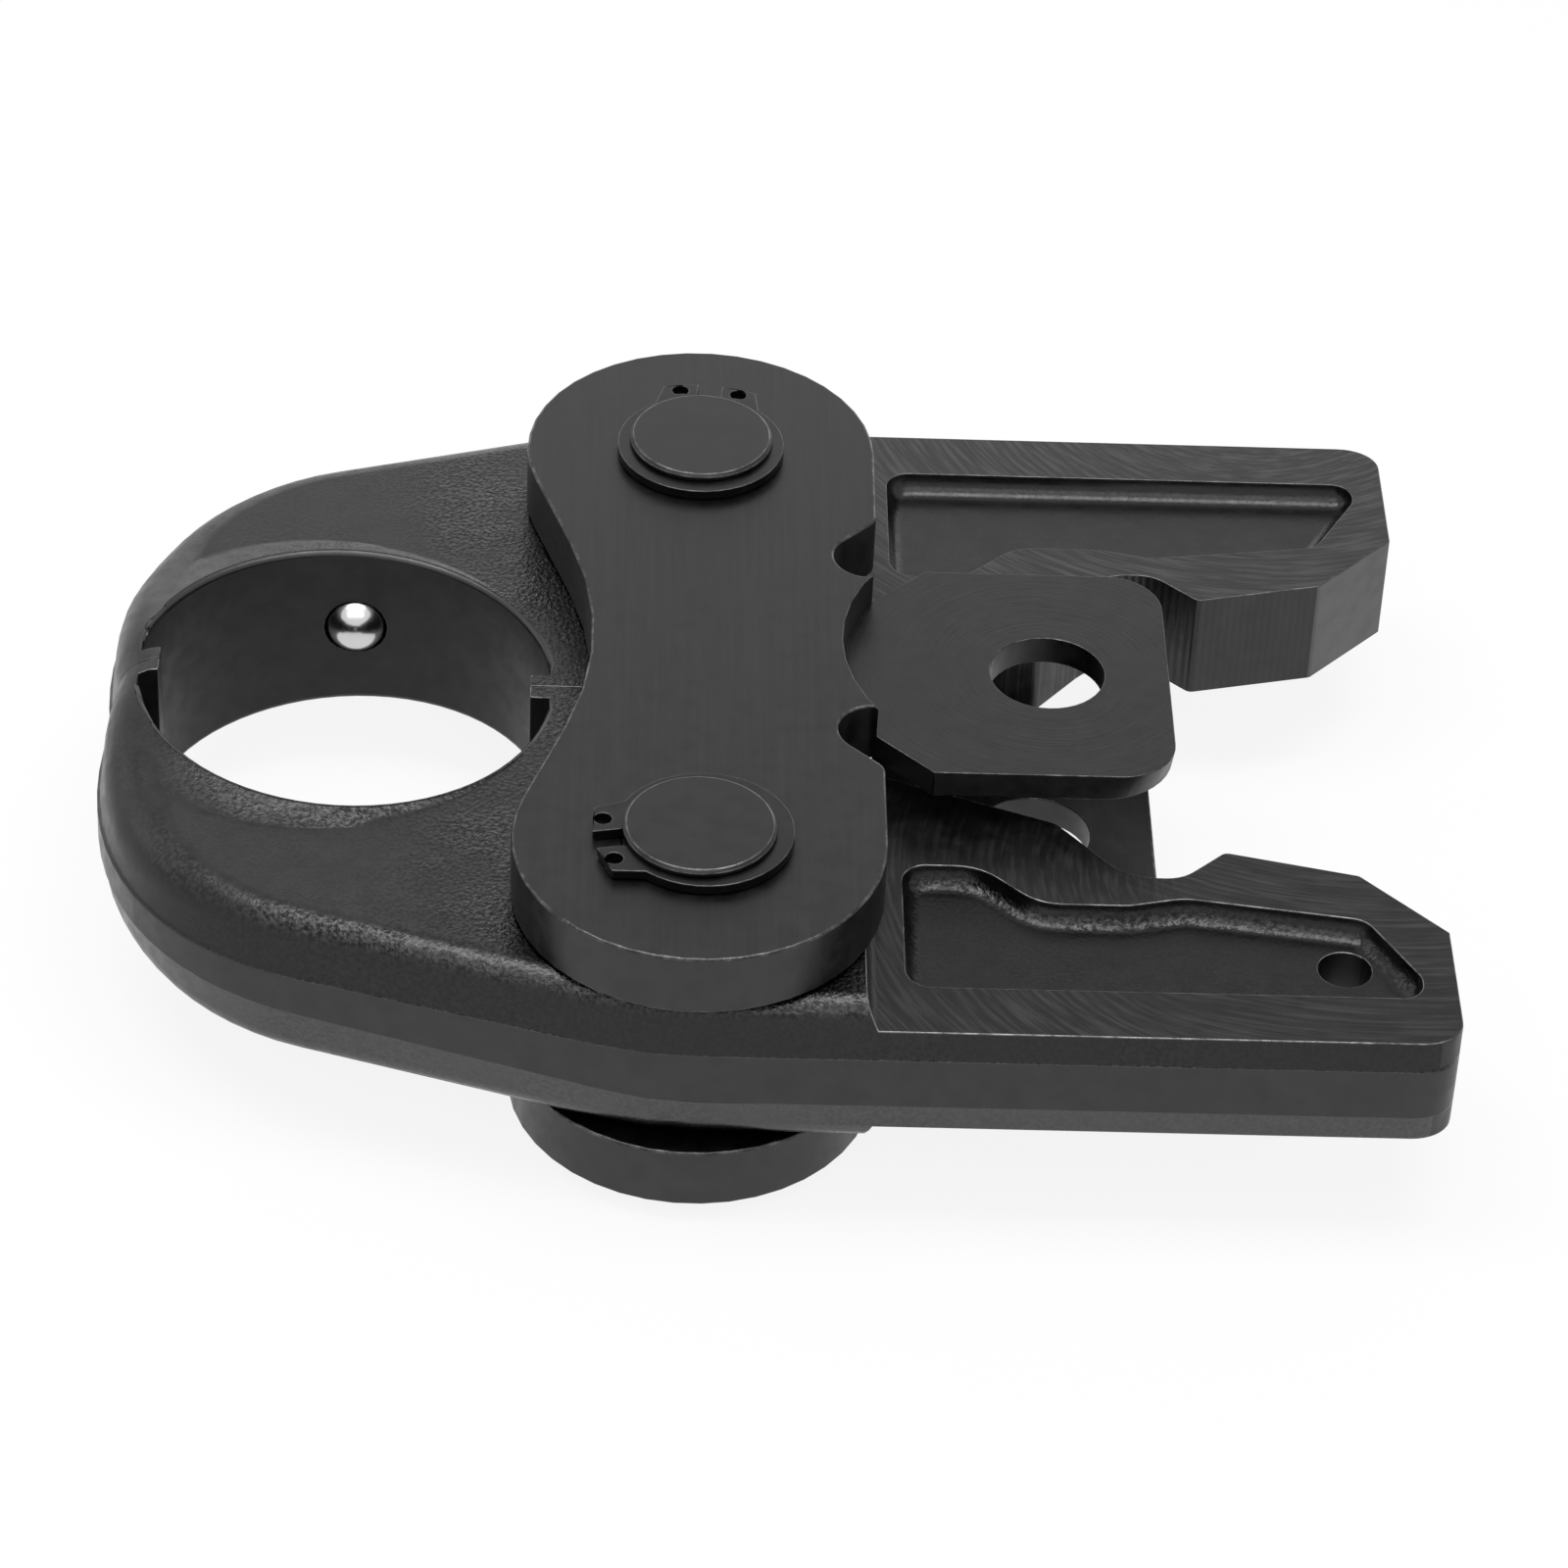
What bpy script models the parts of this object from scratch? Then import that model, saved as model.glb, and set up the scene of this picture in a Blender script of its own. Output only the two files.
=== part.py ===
"""Press jaw for a hydraulic pipe press tool, with a bore that takes exchangeable press inserts.

Two forged jaw halves hinge on two pins between a pair of side plates. The plates end in a tab
with a bolt hole, which hangs the jaw in the press tool. Torsion springs round the pins hold the
halves shut, and a sprung ball in each half of the bore holds an insert.

Sizes are in millimetres. x runs from the nose (minus) to the arms (plus) and is 0 at the pins,
y is 0 at the parting plane between the halves, and z is 0 at mid-thickness. The assembly empty
then lifts everything so that the part stands on its pin ends, centred over the origin.
"""

import math

import bmesh
import bpy
import numpy as np

MM = 0.001

# Side plates
PIN_SPACING = 78.4
PLATE_THICKNESS = 8.0
PLATE_GAP = 21.4
LOBE_RADIUS = 21.9
WAIST_APEX_X = -9.9
WAIST_RADIUS = 58.3
TAB_HOLE_X = 42.4
TAB_HOLE_DIAMETER = 14.0
TAB_END_X = 57.3
TAB_WIDTH = 40.4
TAB_CORNER_RADIUS = 4.0
TAB_INNER_CORNER_RADIUS = 9.0
SPOT_FACE_DIAMETER = 50.2
SPOT_FACE_DEPTH = 4.3
NOTCH_DIAMETER = 8.8
NOTCH_X = 20.9
NOTCH_Y = 17.5
LOBE_CORNER_RADIUS = 2.5
PLATE_EDGE_BREAK = 0.2

# Pivot pins and their circlips
PIN_DIAMETER = 18.0
PIN_OVERHANG = 2.4
PIN_CHAMFER = 0.4
PIN_CLEARANCE = 0.15
GROOVE_DEPTH = 0.5
CLIP_THICKNESS = 1.2
CLIP_SIDE_GAP = 0.1
CLIP_BACK_WIDTH = 2.4
CLIP_FRONT_WIDTH = 1.3
CLIP_EAR_REACH = 3.75
CLIP_EAR_WIDTH = 4.4
CLIP_EAR_TAPER = 1.0
CLIP_EAR_ROOT = 0.7
CLIP_EAR_GAP = 3.0
CLIP_EAR_HOLE_REACH = 2.1
CLIP_EAR_HOLE_DIAMETER = 2.1
NEAR_CLIP_TURN = 191.0
FAR_CLIP_TURN = 84.6

# Jaw forging
SEAT_CLEARANCE = 0.3
PARTING_GAP = 0.3
FLASH_BAND_HEIGHT = 6.8
NOSE_BAND_HEIGHT = 4.4
FLASH_STEP = 0.35
FORGING_DRAFT = 7.0
SHOULDER_RADIUS = 3.8
NOSE_SHOULDER_RADIUS = 6.0
NOSE_ROUND_Y = 46.0
NOSE_RISE = 3.0
NOSE_RISE_Y = 30.0
NOSE_FALL_RUN = 4.0
FACE_RUN = 0.1
FLANK_OFFSET = 21.8
FLANK_ANGLE = 17.5
FLANK_BLEND_RADIUS = 40.0
SHOULDER_X = -46.6
SHOULDER_HANDLE = 19.0
NOSE_HANDLE = 24.5
NOSE_BULGE = 3.7
NOSE_WALL = 3.8
ARM_OFFSET = 21.1
ARM_END_X = 88.6
ARM_END_RADIUS = 5.0

# Insert bore
BORE_X = -43.0
BORE_DIAMETER = 50.0
BORE_NOSE_HEIGHT = 25.2
BORE_HEEL_HEIGHT = 20.6
COLLAR_LAND = 0.6
COLLAR_SINK = 0.3
COLLAR_RUN_PER_RISE = 4.5
COLLAR_APRON = 2.0
COLLAR_APRON_SLOPE = 60.0
COLLAR_SETBACK = 5.5
STOP_RIB_REACH = 2.5
STOP_RIB_THICKNESS = 2.1

# Machined arms
ARM_THICKNESS = 14.6
MILL_STEP_X = 20.9
MILL_STEP_LEAN = 24.0
INNER_FACE_X = -8.0
INNER_FACE_RADIUS = 25.0
INNER_CORNER_X = 43.0
INNER_CORNER_Y = 20.4
INNER_CORNER_RADIUS = 3.0
RELIEF_Y = 30.3
RELIEF_START_X = 51.0
RELIEF_START_RADIUS = 8.0
RELIEF_END_X = 57.6
RELIEF_END_RADIUS = 5.0
ROLLER_TIP_X = 63.0
ROLLER_TIP_Y = 25.2
ROLLER_TIP_RADIUS = 1.2
RAMP_END_X = 78.8
RAMP_END_Y = 29.0
RAMP_END_RADIUS = 1.0
END_CHAMFER_Y = 39.2

# Arm pockets and the hole in the near arm
POCKET_DEPTH = 2.6
POCKET_FILLET = 2.3
POCKET_FILLET_SHARE = 0.9
POCKET_CORNER_RADIUS = 3.0
POCKET_WAVE_RADIUS = 7.0
POCKET_OUTER_RIM = 9.0
POCKET_STEP_RIM = 3.4
POCKET_HEEL_WIDTH = 22.3
POCKET_HEEL_LENGTH = 9.2
POCKET_RELIEF_RIM = 5.4
POCKET_TIP_RIM = 8.9
POCKET_RAMP_RIM = 8.3
POCKET_END_RIM = 4.1
ARM_HOLE_X = 76.1
ARM_HOLE_Y = 43.4
ARM_HOLE_DIAMETER = 6.3

# Sprung ball in each half of the bore
BALL_DIAMETER = 8.0
BALL_PROUD = 2.4
BALL_CLEARANCE = 0.25
BALL_LIP_DEPTH = 0.5
BALL_LIP_CLEARANCE = 0.12
DETENT_DEPTH = 16.0
DETENT_WIRE = 0.9
DETENT_COIL_DIAMETER = 5.5
DETENT_TURNS = 4.5

# Torsion spring round each pin
SPRING_WIRE = 1.6
SPRING_COIL_DIAMETER = 22.4
SPRING_TURNS = 2.25
SPRING_RECESS_DEPTH = 7.0
SPRING_RECESS_CLEARANCE = 0.5
SPRING_LEG_LENGTH = 4.0
SPRING_LEG_BEND = 1.6
SPRING_CLEARANCE = 0.3

# Fineness of the facets
ARC_STEP = 9.0
FINE_ARC_STEP = 5.0
ROUND_STEPS = 40
COLLAR_STEPS = 72
SMALL_ROUND_STEPS = 20
EAR_HOLE_STEPS = 12
BALL_STEPS = 12
FLANK_STEPS = 17
SHOULDER_STEPS = 5
COVE_STEPS = 4
FILLET_STEPS = 3
CURL_STEPS = 10
LEG_BEND_ANGLES = (90, 60, 30)
ARC_EDGE_SHARE = 0.85
TINY = 1e-9
FLAT_ANGLE = 1e-5
SLIVER = 0.04
SMOOTH_ANGLE = 32.0

PIN_Y = PIN_SPACING / 2
PIN_RADIUS = PIN_DIAMETER / 2
PIN_HOLE_RADIUS = PIN_RADIUS + PIN_CLEARANCE
PLATE_INNER_Z = PLATE_GAP / 2
PLATE_OUTER_Z = PLATE_INNER_Z + PLATE_THICKNESS
PIN_END_Z = PLATE_OUTER_Z + PIN_OVERHANG
SEAT_Z = PLATE_INNER_Z - SEAT_CLEARANCE
ARM_Z = ARM_THICKNESS / 2
PARTING_Y = PARTING_GAP / 2
BORE_RADIUS = BORE_DIAMETER / 2
NOSE_X = BORE_X - BORE_RADIUS - NOSE_WALL
ARM_OUTER_Y = PIN_Y + ARM_OFFSET
BALL_Y = BORE_RADIUS + BALL_DIAMETER / 2 - BALL_PROUD
PAST = 6.0
SQUARE_Y = -2 * PAST - SHOULDER_RADIUS


def clear_scene():
    """Remove whatever the scene starts with."""
    for thing in list(bpy.data.objects):
        bpy.data.objects.remove(thing, do_unlink=True)


def metal(name, colour, roughness):
    """A plain metal finish."""
    finish = bpy.data.materials.new(name)
    finish.use_nodes = True
    shader = finish.node_tree.nodes["Principled BSDF"]
    shader.inputs["Base Color"].default_value = (*colour, 1.0)
    shader.inputs["Metallic"].default_value = 1.0
    shader.inputs["Roughness"].default_value = roughness
    return finish


def direction(degrees):
    """Unit vector at this angle in the xy plane."""
    return np.array((math.cos(math.radians(degrees)), math.sin(math.radians(degrees))))


def arc(centre, radius, start, end, step=ARC_STEP):
    """Points along an arc from start to end degrees, both ends included."""
    count = max(2, math.ceil(abs(end - start) / step) + 1)
    return [np.add(centre, radius * direction(a)) for a in np.linspace(start, end, count)]


def bezier(p0, p1, p2, p3, steps):
    """Points along a cubic curve, both ends included."""
    t = np.linspace(0, 1, steps + 1)[:, None]
    p0, p1, p2, p3 = (np.array(p) for p in (p0, p1, p2, p3))
    curve = (1 - t) ** 3 * p0 + 3 * t * (1 - t) ** 2 * p1 + 3 * t**2 * (1 - t) * p2 + t**3 * p3
    return list(curve)


def corner_runs(corners):
    """How far each (x, y, radius) corner's arc reaches along its edges, and half its inner angle.

    Arcs that would meet on an edge are both made smaller, so that they share it.
    """
    points = np.array([corner[:2] for corner in corners])
    radii = np.array([corner[2] for corner in corners])
    ahead = np.roll(points, -1, axis=0) - points
    lengths = np.linalg.norm(ahead, axis=1)
    ahead /= lengths[:, None]
    back = -np.roll(ahead, 1, axis=0)
    half = np.arccos(np.clip(np.sum(back * ahead, axis=1), -1, 1)) / 2
    runs = radii / np.tan(half)
    share = np.minimum(1, ARC_EDGE_SHARE * lengths / np.maximum(runs + np.roll(runs, -1), TINY))
    return runs * np.minimum(share, np.roll(share, 1)), half, back, ahead


def rounded(corners):
    """A closed outline from (x, y, radius) corners, each corner with a radius made an arc."""
    points = []
    for corner, run, half, back, ahead in zip(corners, *corner_runs(corners)):
        place = np.array(corner[:2])
        if not run:
            points.append(place)
            continue
        middle = (back + ahead) / np.linalg.norm(back + ahead)
        centre = place + middle * run / math.cos(half)
        start = place + run * back - centre
        turn = math.copysign(math.pi - 2 * half, back[1] * ahead[0] - back[0] * ahead[1])
        steps = max(1, math.ceil(math.degrees(abs(turn)) / ARC_STEP))
        for a in np.linspace(0, turn, steps + 1):
            c, s = math.cos(a), math.sin(a)
            points.append(centre + (c * start[0] - s * start[1], s * start[0] + c * start[1]))
    return points


def least_radius(corners):
    """The smallest radius that the corners of an outline end up with."""
    runs, half, _, _ = corner_runs(corners)
    return min(runs * np.tan(half))


def inset(outline, distance):
    """The outline moved inwards, by one distance or by one for each point."""
    points = np.array(outline)
    along = np.roll(points, -1, axis=0) - points
    along /= np.linalg.norm(along, axis=1)[:, None]
    normals = np.c_[along[:, 1], -along[:, 0]]
    ahead = np.roll(points, -1, axis=0)
    area = np.sum(points[:, 0] * ahead[:, 1] - ahead[:, 0] * points[:, 1])
    before = np.roll(normals, 1, axis=0)
    miter = (before + normals) / (1 + np.sum(before * normals, axis=1))[:, None]
    return points - np.sign(area) * np.reshape(distance, (-1, 1)) * miter


def new_object(name, data, origin, finish=None):
    """Put data into the scene with its origin at a place of the assembly, in millimetres."""
    thing = bpy.data.objects.new(name, data)
    bpy.context.scene.collection.objects.link(thing)
    thing.parent = bpy.data.objects["assembly"]
    thing.location = [MM * c for c in origin]
    if finish:
        data.materials.append(finish)
    return thing


def solid(name, points, faces, origin=(0, 0, 0), finish=None):
    """A closed mesh object from assembly points in millimetres, smooth between its sharp edges.

    Faces that aren't flat are split, so that every later cut finds flat ones.
    """
    mesh = bpy.data.meshes.new(name)
    mesh.from_pydata((np.array(points) - origin) * MM, [], faces)
    work = bmesh.new()
    work.from_mesh(mesh)
    bmesh.ops.connect_verts_nonplanar(work, angle_limit=FLAT_ANGLE, faces=work.faces)
    bmesh.ops.recalc_face_normals(work, faces=work.faces)
    work.to_mesh(mesh)
    work.free()
    mesh.shade_smooth()
    mesh.set_sharp_from_angle(angle=math.radians(SMOOTH_ANGLE))
    return new_object(name, mesh, origin, finish)


def loft(name, rings, origin=(0, 0, 0), finish=None):
    """A solid through closed outlines of as many points each, given as (outline, z) from end to end."""
    count = len(rings[0][0])
    points = np.vstack([np.c_[outline, np.broadcast_to(z, count)] for outline, z in rings])
    faces = [list(range(count)), list(range(len(points) - count, len(points)))]
    for low in range(0, len(points) - count, count):
        for i in range(count):
            j = (i + 1) % count
            faces.append((low + i, low + j, low + count + j, low + count + i))
    return solid(name, points, faces, origin, finish)


def turned(name, profile, centre, axis="z", origin=(0, 0, 0), finish=None, steps=ROUND_STEPS):
    """A solid of revolution from (radius, height) points, about an axis through centre.

    A profile that starts and ends at radius 0 is a body, and any other closes on itself as a ring.
    """
    body = profile[0][0] == 0
    rings = profile[1:-1] if body else profile
    points = []
    for radius, height in rings:
        for a in np.linspace(0, 2 * math.pi, steps, endpoint=False):
            c, s = radius * math.cos(a), radius * math.sin(a)
            offset = (c, s, height) if axis == "z" else (c, height, s)
            points.append(np.add(centre, offset))
    faces = []
    for low in range(len(rings) if not body else len(rings) - 1):
        high = (low + 1) % len(rings)
        for i in range(steps):
            j = (i + 1) % steps
            faces.append((low * steps + i, low * steps + j, high * steps + j, high * steps + i))
    if body:
        faces += [list(range(steps)), list(range(len(points) - steps, len(points)))]
    return solid(name, points, faces, origin, finish)


def cylinder(name, radius, low, high, centre, axis="z", origin=(0, 0, 0), steps=ROUND_STEPS):
    """A plain round bar between two heights along an axis, mostly used as a drill."""
    profile = [(0, low), (radius, low), (radius, high), (0, high)]
    return turned(name, profile, centre, axis, origin, steps=steps)


def wire(name, points, diameter, origin, finish):
    """A round wire through these points, as one unbroken tube, whose least gap to itself is printed."""
    points = np.array(points)
    lengths = np.r_[0, np.cumsum(np.linalg.norm(np.diff(points, axis=0), axis=1))]
    apart = np.linalg.norm(points[:, None] - points[None], axis=2)
    apart[np.abs(lengths[:, None] - lengths[None]) < 3 * diameter] = np.inf
    print(f"{name}: least gap to itself {apart.min() - diameter:.2f} mm")
    curve = bpy.data.curves.new(name, "CURVE")
    curve.dimensions = "3D"
    curve.bevel_depth = MM * diameter / 2
    curve.bevel_resolution = 1
    curve.use_fill_caps = True
    spline = curve.splines.new("POLY")
    spline.points.add(len(points) - 1)
    spline.points.foreach_set("co", np.c_[(points - origin) * MM, np.ones(len(points))].ravel())
    return new_object(name, curve, origin, finish)


def combine(target, tool, operation="DIFFERENCE"):
    """Cut a tool out of a target, or join it on, and hide the tool."""
    change = target.modifiers.new(tool.name, "BOOLEAN")
    change.operation = operation
    change.object = tool
    change.solver = "EXACT"
    tool.hide_render = True
    tool.display_type = "WIRE"


def plate_outline(tab_corner_radius):
    """Outline of a side plate: two lobes, a waist, and a tab behind two drilled notches."""
    apex = np.array((WAIST_APEX_X, 0.0))
    to_pin = np.array((0.0, PIN_Y)) - apex
    reach = np.linalg.norm(to_pin)
    tangent = math.degrees(math.atan2(to_pin[1], to_pin[0]) + math.asin(LOBE_RADIUS / reach))
    notch = np.array((NOTCH_X, NOTCH_Y))
    notch_radius = NOTCH_DIAMETER / 2
    slope_start = notch + notch_radius * direction(135)
    half = [(TAB_END_X, TAB_WIDTH / 2, tab_corner_radius)]
    half.append((NOTCH_X + TAB_WIDTH / 2 - NOTCH_Y + notch_radius, TAB_WIDTH / 2, 0))
    half += [(*p, 0) for p in arc(notch, notch_radius, 270, 135)]
    half.append((LOBE_RADIUS, slope_start[1] + LOBE_RADIUS - slope_start[0], LOBE_CORNER_RADIUS))
    half += [(*p, 0) for p in arc((0, PIN_Y), LOBE_RADIUS, 0, tangent + 90)]
    other_half = [(x, -y, radius) for x, y, radius in reversed(half)]
    return rounded(half + [(*apex, WAIST_RADIUS)] + other_half)


def side_plate(name, up, finish):
    """One side plate, with up +1 above the jaws or -1 below them."""
    inner, outer = plate_outline(TAB_INNER_CORNER_RADIUS), plate_outline(TAB_CORNER_RADIUS)
    rings = [
        (inset(inner, PLATE_EDGE_BREAK), up * PLATE_INNER_Z),
        (inner, up * (PLATE_INNER_Z + PLATE_EDGE_BREAK)),
        (outer, up * (PLATE_OUTER_Z - PLATE_EDGE_BREAK)),
        (inset(outer, PLATE_EDGE_BREAK), up * PLATE_OUTER_Z),
    ]
    plate = loft(name, rings, finish=finish)
    floor, past = up * (PLATE_OUTER_Z - SPOT_FACE_DEPTH), up * (PLATE_OUTER_Z + PAST)
    tab_hole = (TAB_HOLE_X, 0, 0)
    spot_face = arc(tab_hole[:2], SPOT_FACE_DIAMETER / 2, 90, 270)
    spot_face += [(TAB_END_X + PAST, y) for y in (-SPOT_FACE_DIAMETER / 2, SPOT_FACE_DIAMETER / 2)]
    combine(plate, loft(f"{name}_spot_face", [(spot_face, floor), (spot_face, past)]))
    inside = up * (PLATE_INNER_Z - PAST)
    combine(plate, cylinder(f"{name}_tab_hole", TAB_HOLE_DIAMETER / 2, inside, past, tab_hole))
    for side, where in ((1, "far"), (-1, "near")):
        hole = cylinder(f"{name}_{where}_hole", PIN_HOLE_RADIUS, inside, past, (0, side * PIN_Y, 0))
        combine(plate, hole)
    return plate


def pivot_pin(name, side, finish):
    """A plain pin with a circlip groove near each end and broken edges."""
    groove_out = PLATE_OUTER_Z + 3 * CLIP_SIDE_GAP + CLIP_THICKNESS
    half = [
        (PIN_RADIUS, PLATE_OUTER_Z),
        (PIN_RADIUS - GROOVE_DEPTH, PLATE_OUTER_Z),
        (PIN_RADIUS - GROOVE_DEPTH, groove_out),
        (PIN_RADIUS, groove_out),
        (PIN_RADIUS, PIN_END_Z - PIN_CHAMFER),
        (PIN_RADIUS - PIN_CHAMFER, PIN_END_Z),
        (0, PIN_END_Z),
    ]
    profile = [(radius, -z) for radius, z in reversed(half)] + half
    pin = (0, side * PIN_Y, 0)
    return turned(name, profile, pin, origin=pin, finish=finish)


def circlip(name, side, up, turn, finish):
    """An external circlip: an open ring, wider at its back, with two drilled ears at the gap."""
    inner = PIN_RADIUS - GROOVE_DEPTH + PIN_CLEARANCE
    outer = inner + (CLIP_BACK_WIDTH + CLIP_FRONT_WIDTH) / 2
    shift = (CLIP_BACK_WIDTH - CLIP_FRONT_WIDTH) / 2
    gap, ear = CLIP_EAR_GAP / 2, CLIP_EAR_GAP / 2 + CLIP_EAR_WIDTH
    reach = inner + CLIP_EAR_REACH
    gap_angle = math.degrees(math.asin(gap / inner))
    root_angle = math.degrees(math.asin((ear + CLIP_EAR_ROOT) / outer))
    half = arc((-shift, 0), outer, 180, root_angle)
    half += [(reach - CLIP_EAR_TAPER, ear), (reach, gap)]
    half += arc((0, 0), inner, gap_angle, 180)[:-1]
    lower = [(x, -y) for x, y in reversed(half)]
    outline = np.array(half + [(-inner, 0)] + lower[:-1])
    along, across = direction(turn), direction(turn + 90)
    pin = np.array((0, side * PIN_Y))
    outline = pin + outline[:, :1] * along + outline[:, 1:] * across
    face = PLATE_OUTER_Z + 2 * CLIP_SIDE_GAP
    rings = [(outline, up * face), (outline, up * (face + CLIP_THICKNESS))]
    clip = loft(name, rings, (*pin, 0), finish)
    low, high = up * (face - PAST), up * (face + PAST)
    for sign, which in ((1, "first"), (-1, "second")):
        sideways = sign * (gap + CLIP_EAR_WIDTH / 2)
        hole = pin + (inner + CLIP_EAR_HOLE_REACH) * along + sideways * across
        radius = CLIP_EAR_HOLE_DIAMETER / 2
        drill_name = f"{name}_{which}_ear_hole"
        combine(clip, cylinder(drill_name, radius, low, high, (*hole, 0), steps=EAR_HOLE_STEPS))
    return clip


def forging_outline():
    """Outline of the far jaw's forging at its flash band, left square on the parting side."""
    flank = direction(FLANK_ANGLE)
    on_flank = np.array((0, PIN_Y)) + FLANK_OFFSET * direction(90 + FLANK_ANGLE)
    shoulder = on_flank + flank * (SHOULDER_X - on_flank[0]) / flank[0]
    bend = on_flank + flank * (ARM_OUTER_Y - on_flank[1]) / flank[1]
    nose, bulge = (NOSE_X, 0.0), (NOSE_X - NOSE_BULGE, NOSE_HANDLE)
    flank_start = shoulder - SHOULDER_HANDLE * flank
    corners = [(NOSE_X, SQUARE_Y, 0)]
    corners += [(*p, 0) for p in bezier(nose, bulge, flank_start, shoulder, FLANK_STEPS)]
    corners.append((*bend, FLANK_BLEND_RADIUS))
    corners.append((ARM_END_X, ARM_OUTER_Y, ARM_END_RADIUS))
    corners.append((ARM_END_X, SQUARE_Y, 0))
    return np.array(rounded(corners))


def forging_rings(outline):
    """Rings of the forging's side from bottom to top: faces, round shoulders, drafted walls, flash band.

    Towards the nose the band narrows, and the shoulder grows rounder and climbs to the collar's lip,
    with the face falling inwards from it. The end of the arm stays upright, because it is machined.
    """
    draft = math.radians(FORGING_DRAFT)
    x = outline[:, 0]
    band = np.interp(x, (NOSE_X, 0), (NOSE_BAND_HEIGHT / 2, FLASH_BAND_HEIGHT / 2))
    reach = np.where(x < BORE_X, np.abs(outline[:, 1]), ARM_OUTER_Y)
    shoulder = np.interp(reach, (NOSE_RISE_Y, NOSE_ROUND_Y), (NOSE_SHOULDER_RADIUS, SHOULDER_RADIUS))
    share = 1 - (np.minimum(reach, NOSE_RISE_Y) / NOSE_RISE_Y) ** 2
    top = SEAT_Z + NOSE_RISE * share**2
    foot = band + FLASH_STEP
    wall_top = top - shoulder * (1 - math.sin(draft))
    upper = [(0 * band, band), (0 * band + FLASH_STEP, foot)]
    for a in np.linspace(draft, math.pi / 2, SHOULDER_STEPS + 1):
        round_in = shoulder * (math.cos(draft) - math.cos(a))
        distance = FLASH_STEP + (wall_top - foot) * math.tan(draft) + round_in
        upper.append((distance, top - shoulder * (1 - math.sin(a))))
    upper.append((upper[-1][0] + FACE_RUN + NOSE_FALL_RUN * share, 0 * band + SEAT_Z))
    rings = []
    arm = x > MILL_STEP_X
    for up, levels in ((-1, reversed(upper)), (1, upper)):
        for distance, z in levels:
            ring = inset(outline, distance)
            ring[arm, 0] = x[arm]
            rings.append((ring, up * z))
    return rings


def collar_limit(outline, angles):
    """How far from the bore's axis the collar's setback from the outline lies, on both sides alike."""
    nose = outline[:, 0] < MILL_STEP_X
    bounds = inset(outline, np.where(nose, COLLAR_SETBACK, 0.0)) - (BORE_X, 0)
    along = np.roll(bounds, -1, axis=0) - bounds
    ways = np.c_[np.cos(angles), np.abs(np.sin(angles))]
    cross = ways[:, :1] * along[:, 1] - ways[:, 1:] * along[:, 0]
    cross[np.abs(cross) < TINY] = TINY
    share = (bounds[:, 0] * ways[:, 1:] - bounds[:, 1] * ways[:, :1]) / cross
    reach = (bounds[:, 0] * along[:, 1] - bounds[:, 1] * along[:, 0]) / cross
    met = (np.abs(share - 0.5) <= 0.5 + TINY) & (reach > 0)
    return np.min(np.where(met, reach, np.inf), axis=1)


def collar_half(angles, limit):
    """Rings of the collar's upper half, from inside the bore out: a leaning lip, a cove and an apron.

    The lip leans down from the nose to the heel. The cove falls with the square of what is left of its
    run, which is in proportion to its rise, to a foot just under the face of the forging. At the foot, or
    at the limit where the nose is narrow, the apron dives into the forging.
    """
    middle = (BORE_NOSE_HEIGHT + BORE_HEEL_HEIGHT) / 4
    lean = (BORE_HEEL_HEIGHT - BORE_NOSE_HEIGHT) / 2 / BORE_DIAMETER
    foot = SEAT_Z - COLLAR_SINK
    land = BORE_RADIUS + COLLAR_LAND
    inside = BORE_RADIUS - PAST
    dive = math.tan(math.radians(COLLAR_APRON_SLOPE))
    rise = middle + lean * land * np.cos(angles) - foot
    run = COLLAR_RUN_PER_RISE * rise
    end = np.clip(limit, land + FACE_RUN, land + run)
    rings = [(0 * angles + inside, middle + lean * inside * np.cos(angles))]
    for t in np.linspace(0, 1, COVE_STEPS + 1):
        radius = land + (end - land) * t
        cove = foot + rise * (1 - (radius - land) / run) ** 2
        rings.append((radius, cove - dive * np.maximum(radius - limit, 0)))
    rings.append((end + COLLAR_APRON, rings[-1][1] - dive * COLLAR_APRON))
    return rings


def collar(name, outline, pin):
    """Raised ring round the bore, set back from the side of the nose."""
    angles = np.linspace(0, 2 * math.pi, COLLAR_STEPS, endpoint=False)
    upper = collar_half(angles, collar_limit(outline, angles))
    rings = upper + [(radius, -z) for radius, z in reversed(upper)]
    points = np.vstack([np.c_[BORE_X + r * np.cos(angles), r * np.sin(angles), z] for r, z in rings])
    faces = []
    for low in range(len(rings)):
        high = (low + 1) % len(rings)
        for i in range(COLLAR_STEPS):
            j = (i + 1) % COLLAR_STEPS
            quad = ((low, i), (low, j), (high, j), (high, i))
            faces.append([ring * COLLAR_STEPS + k for ring, k in quad])
    return solid(name, points, faces, pin)


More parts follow.
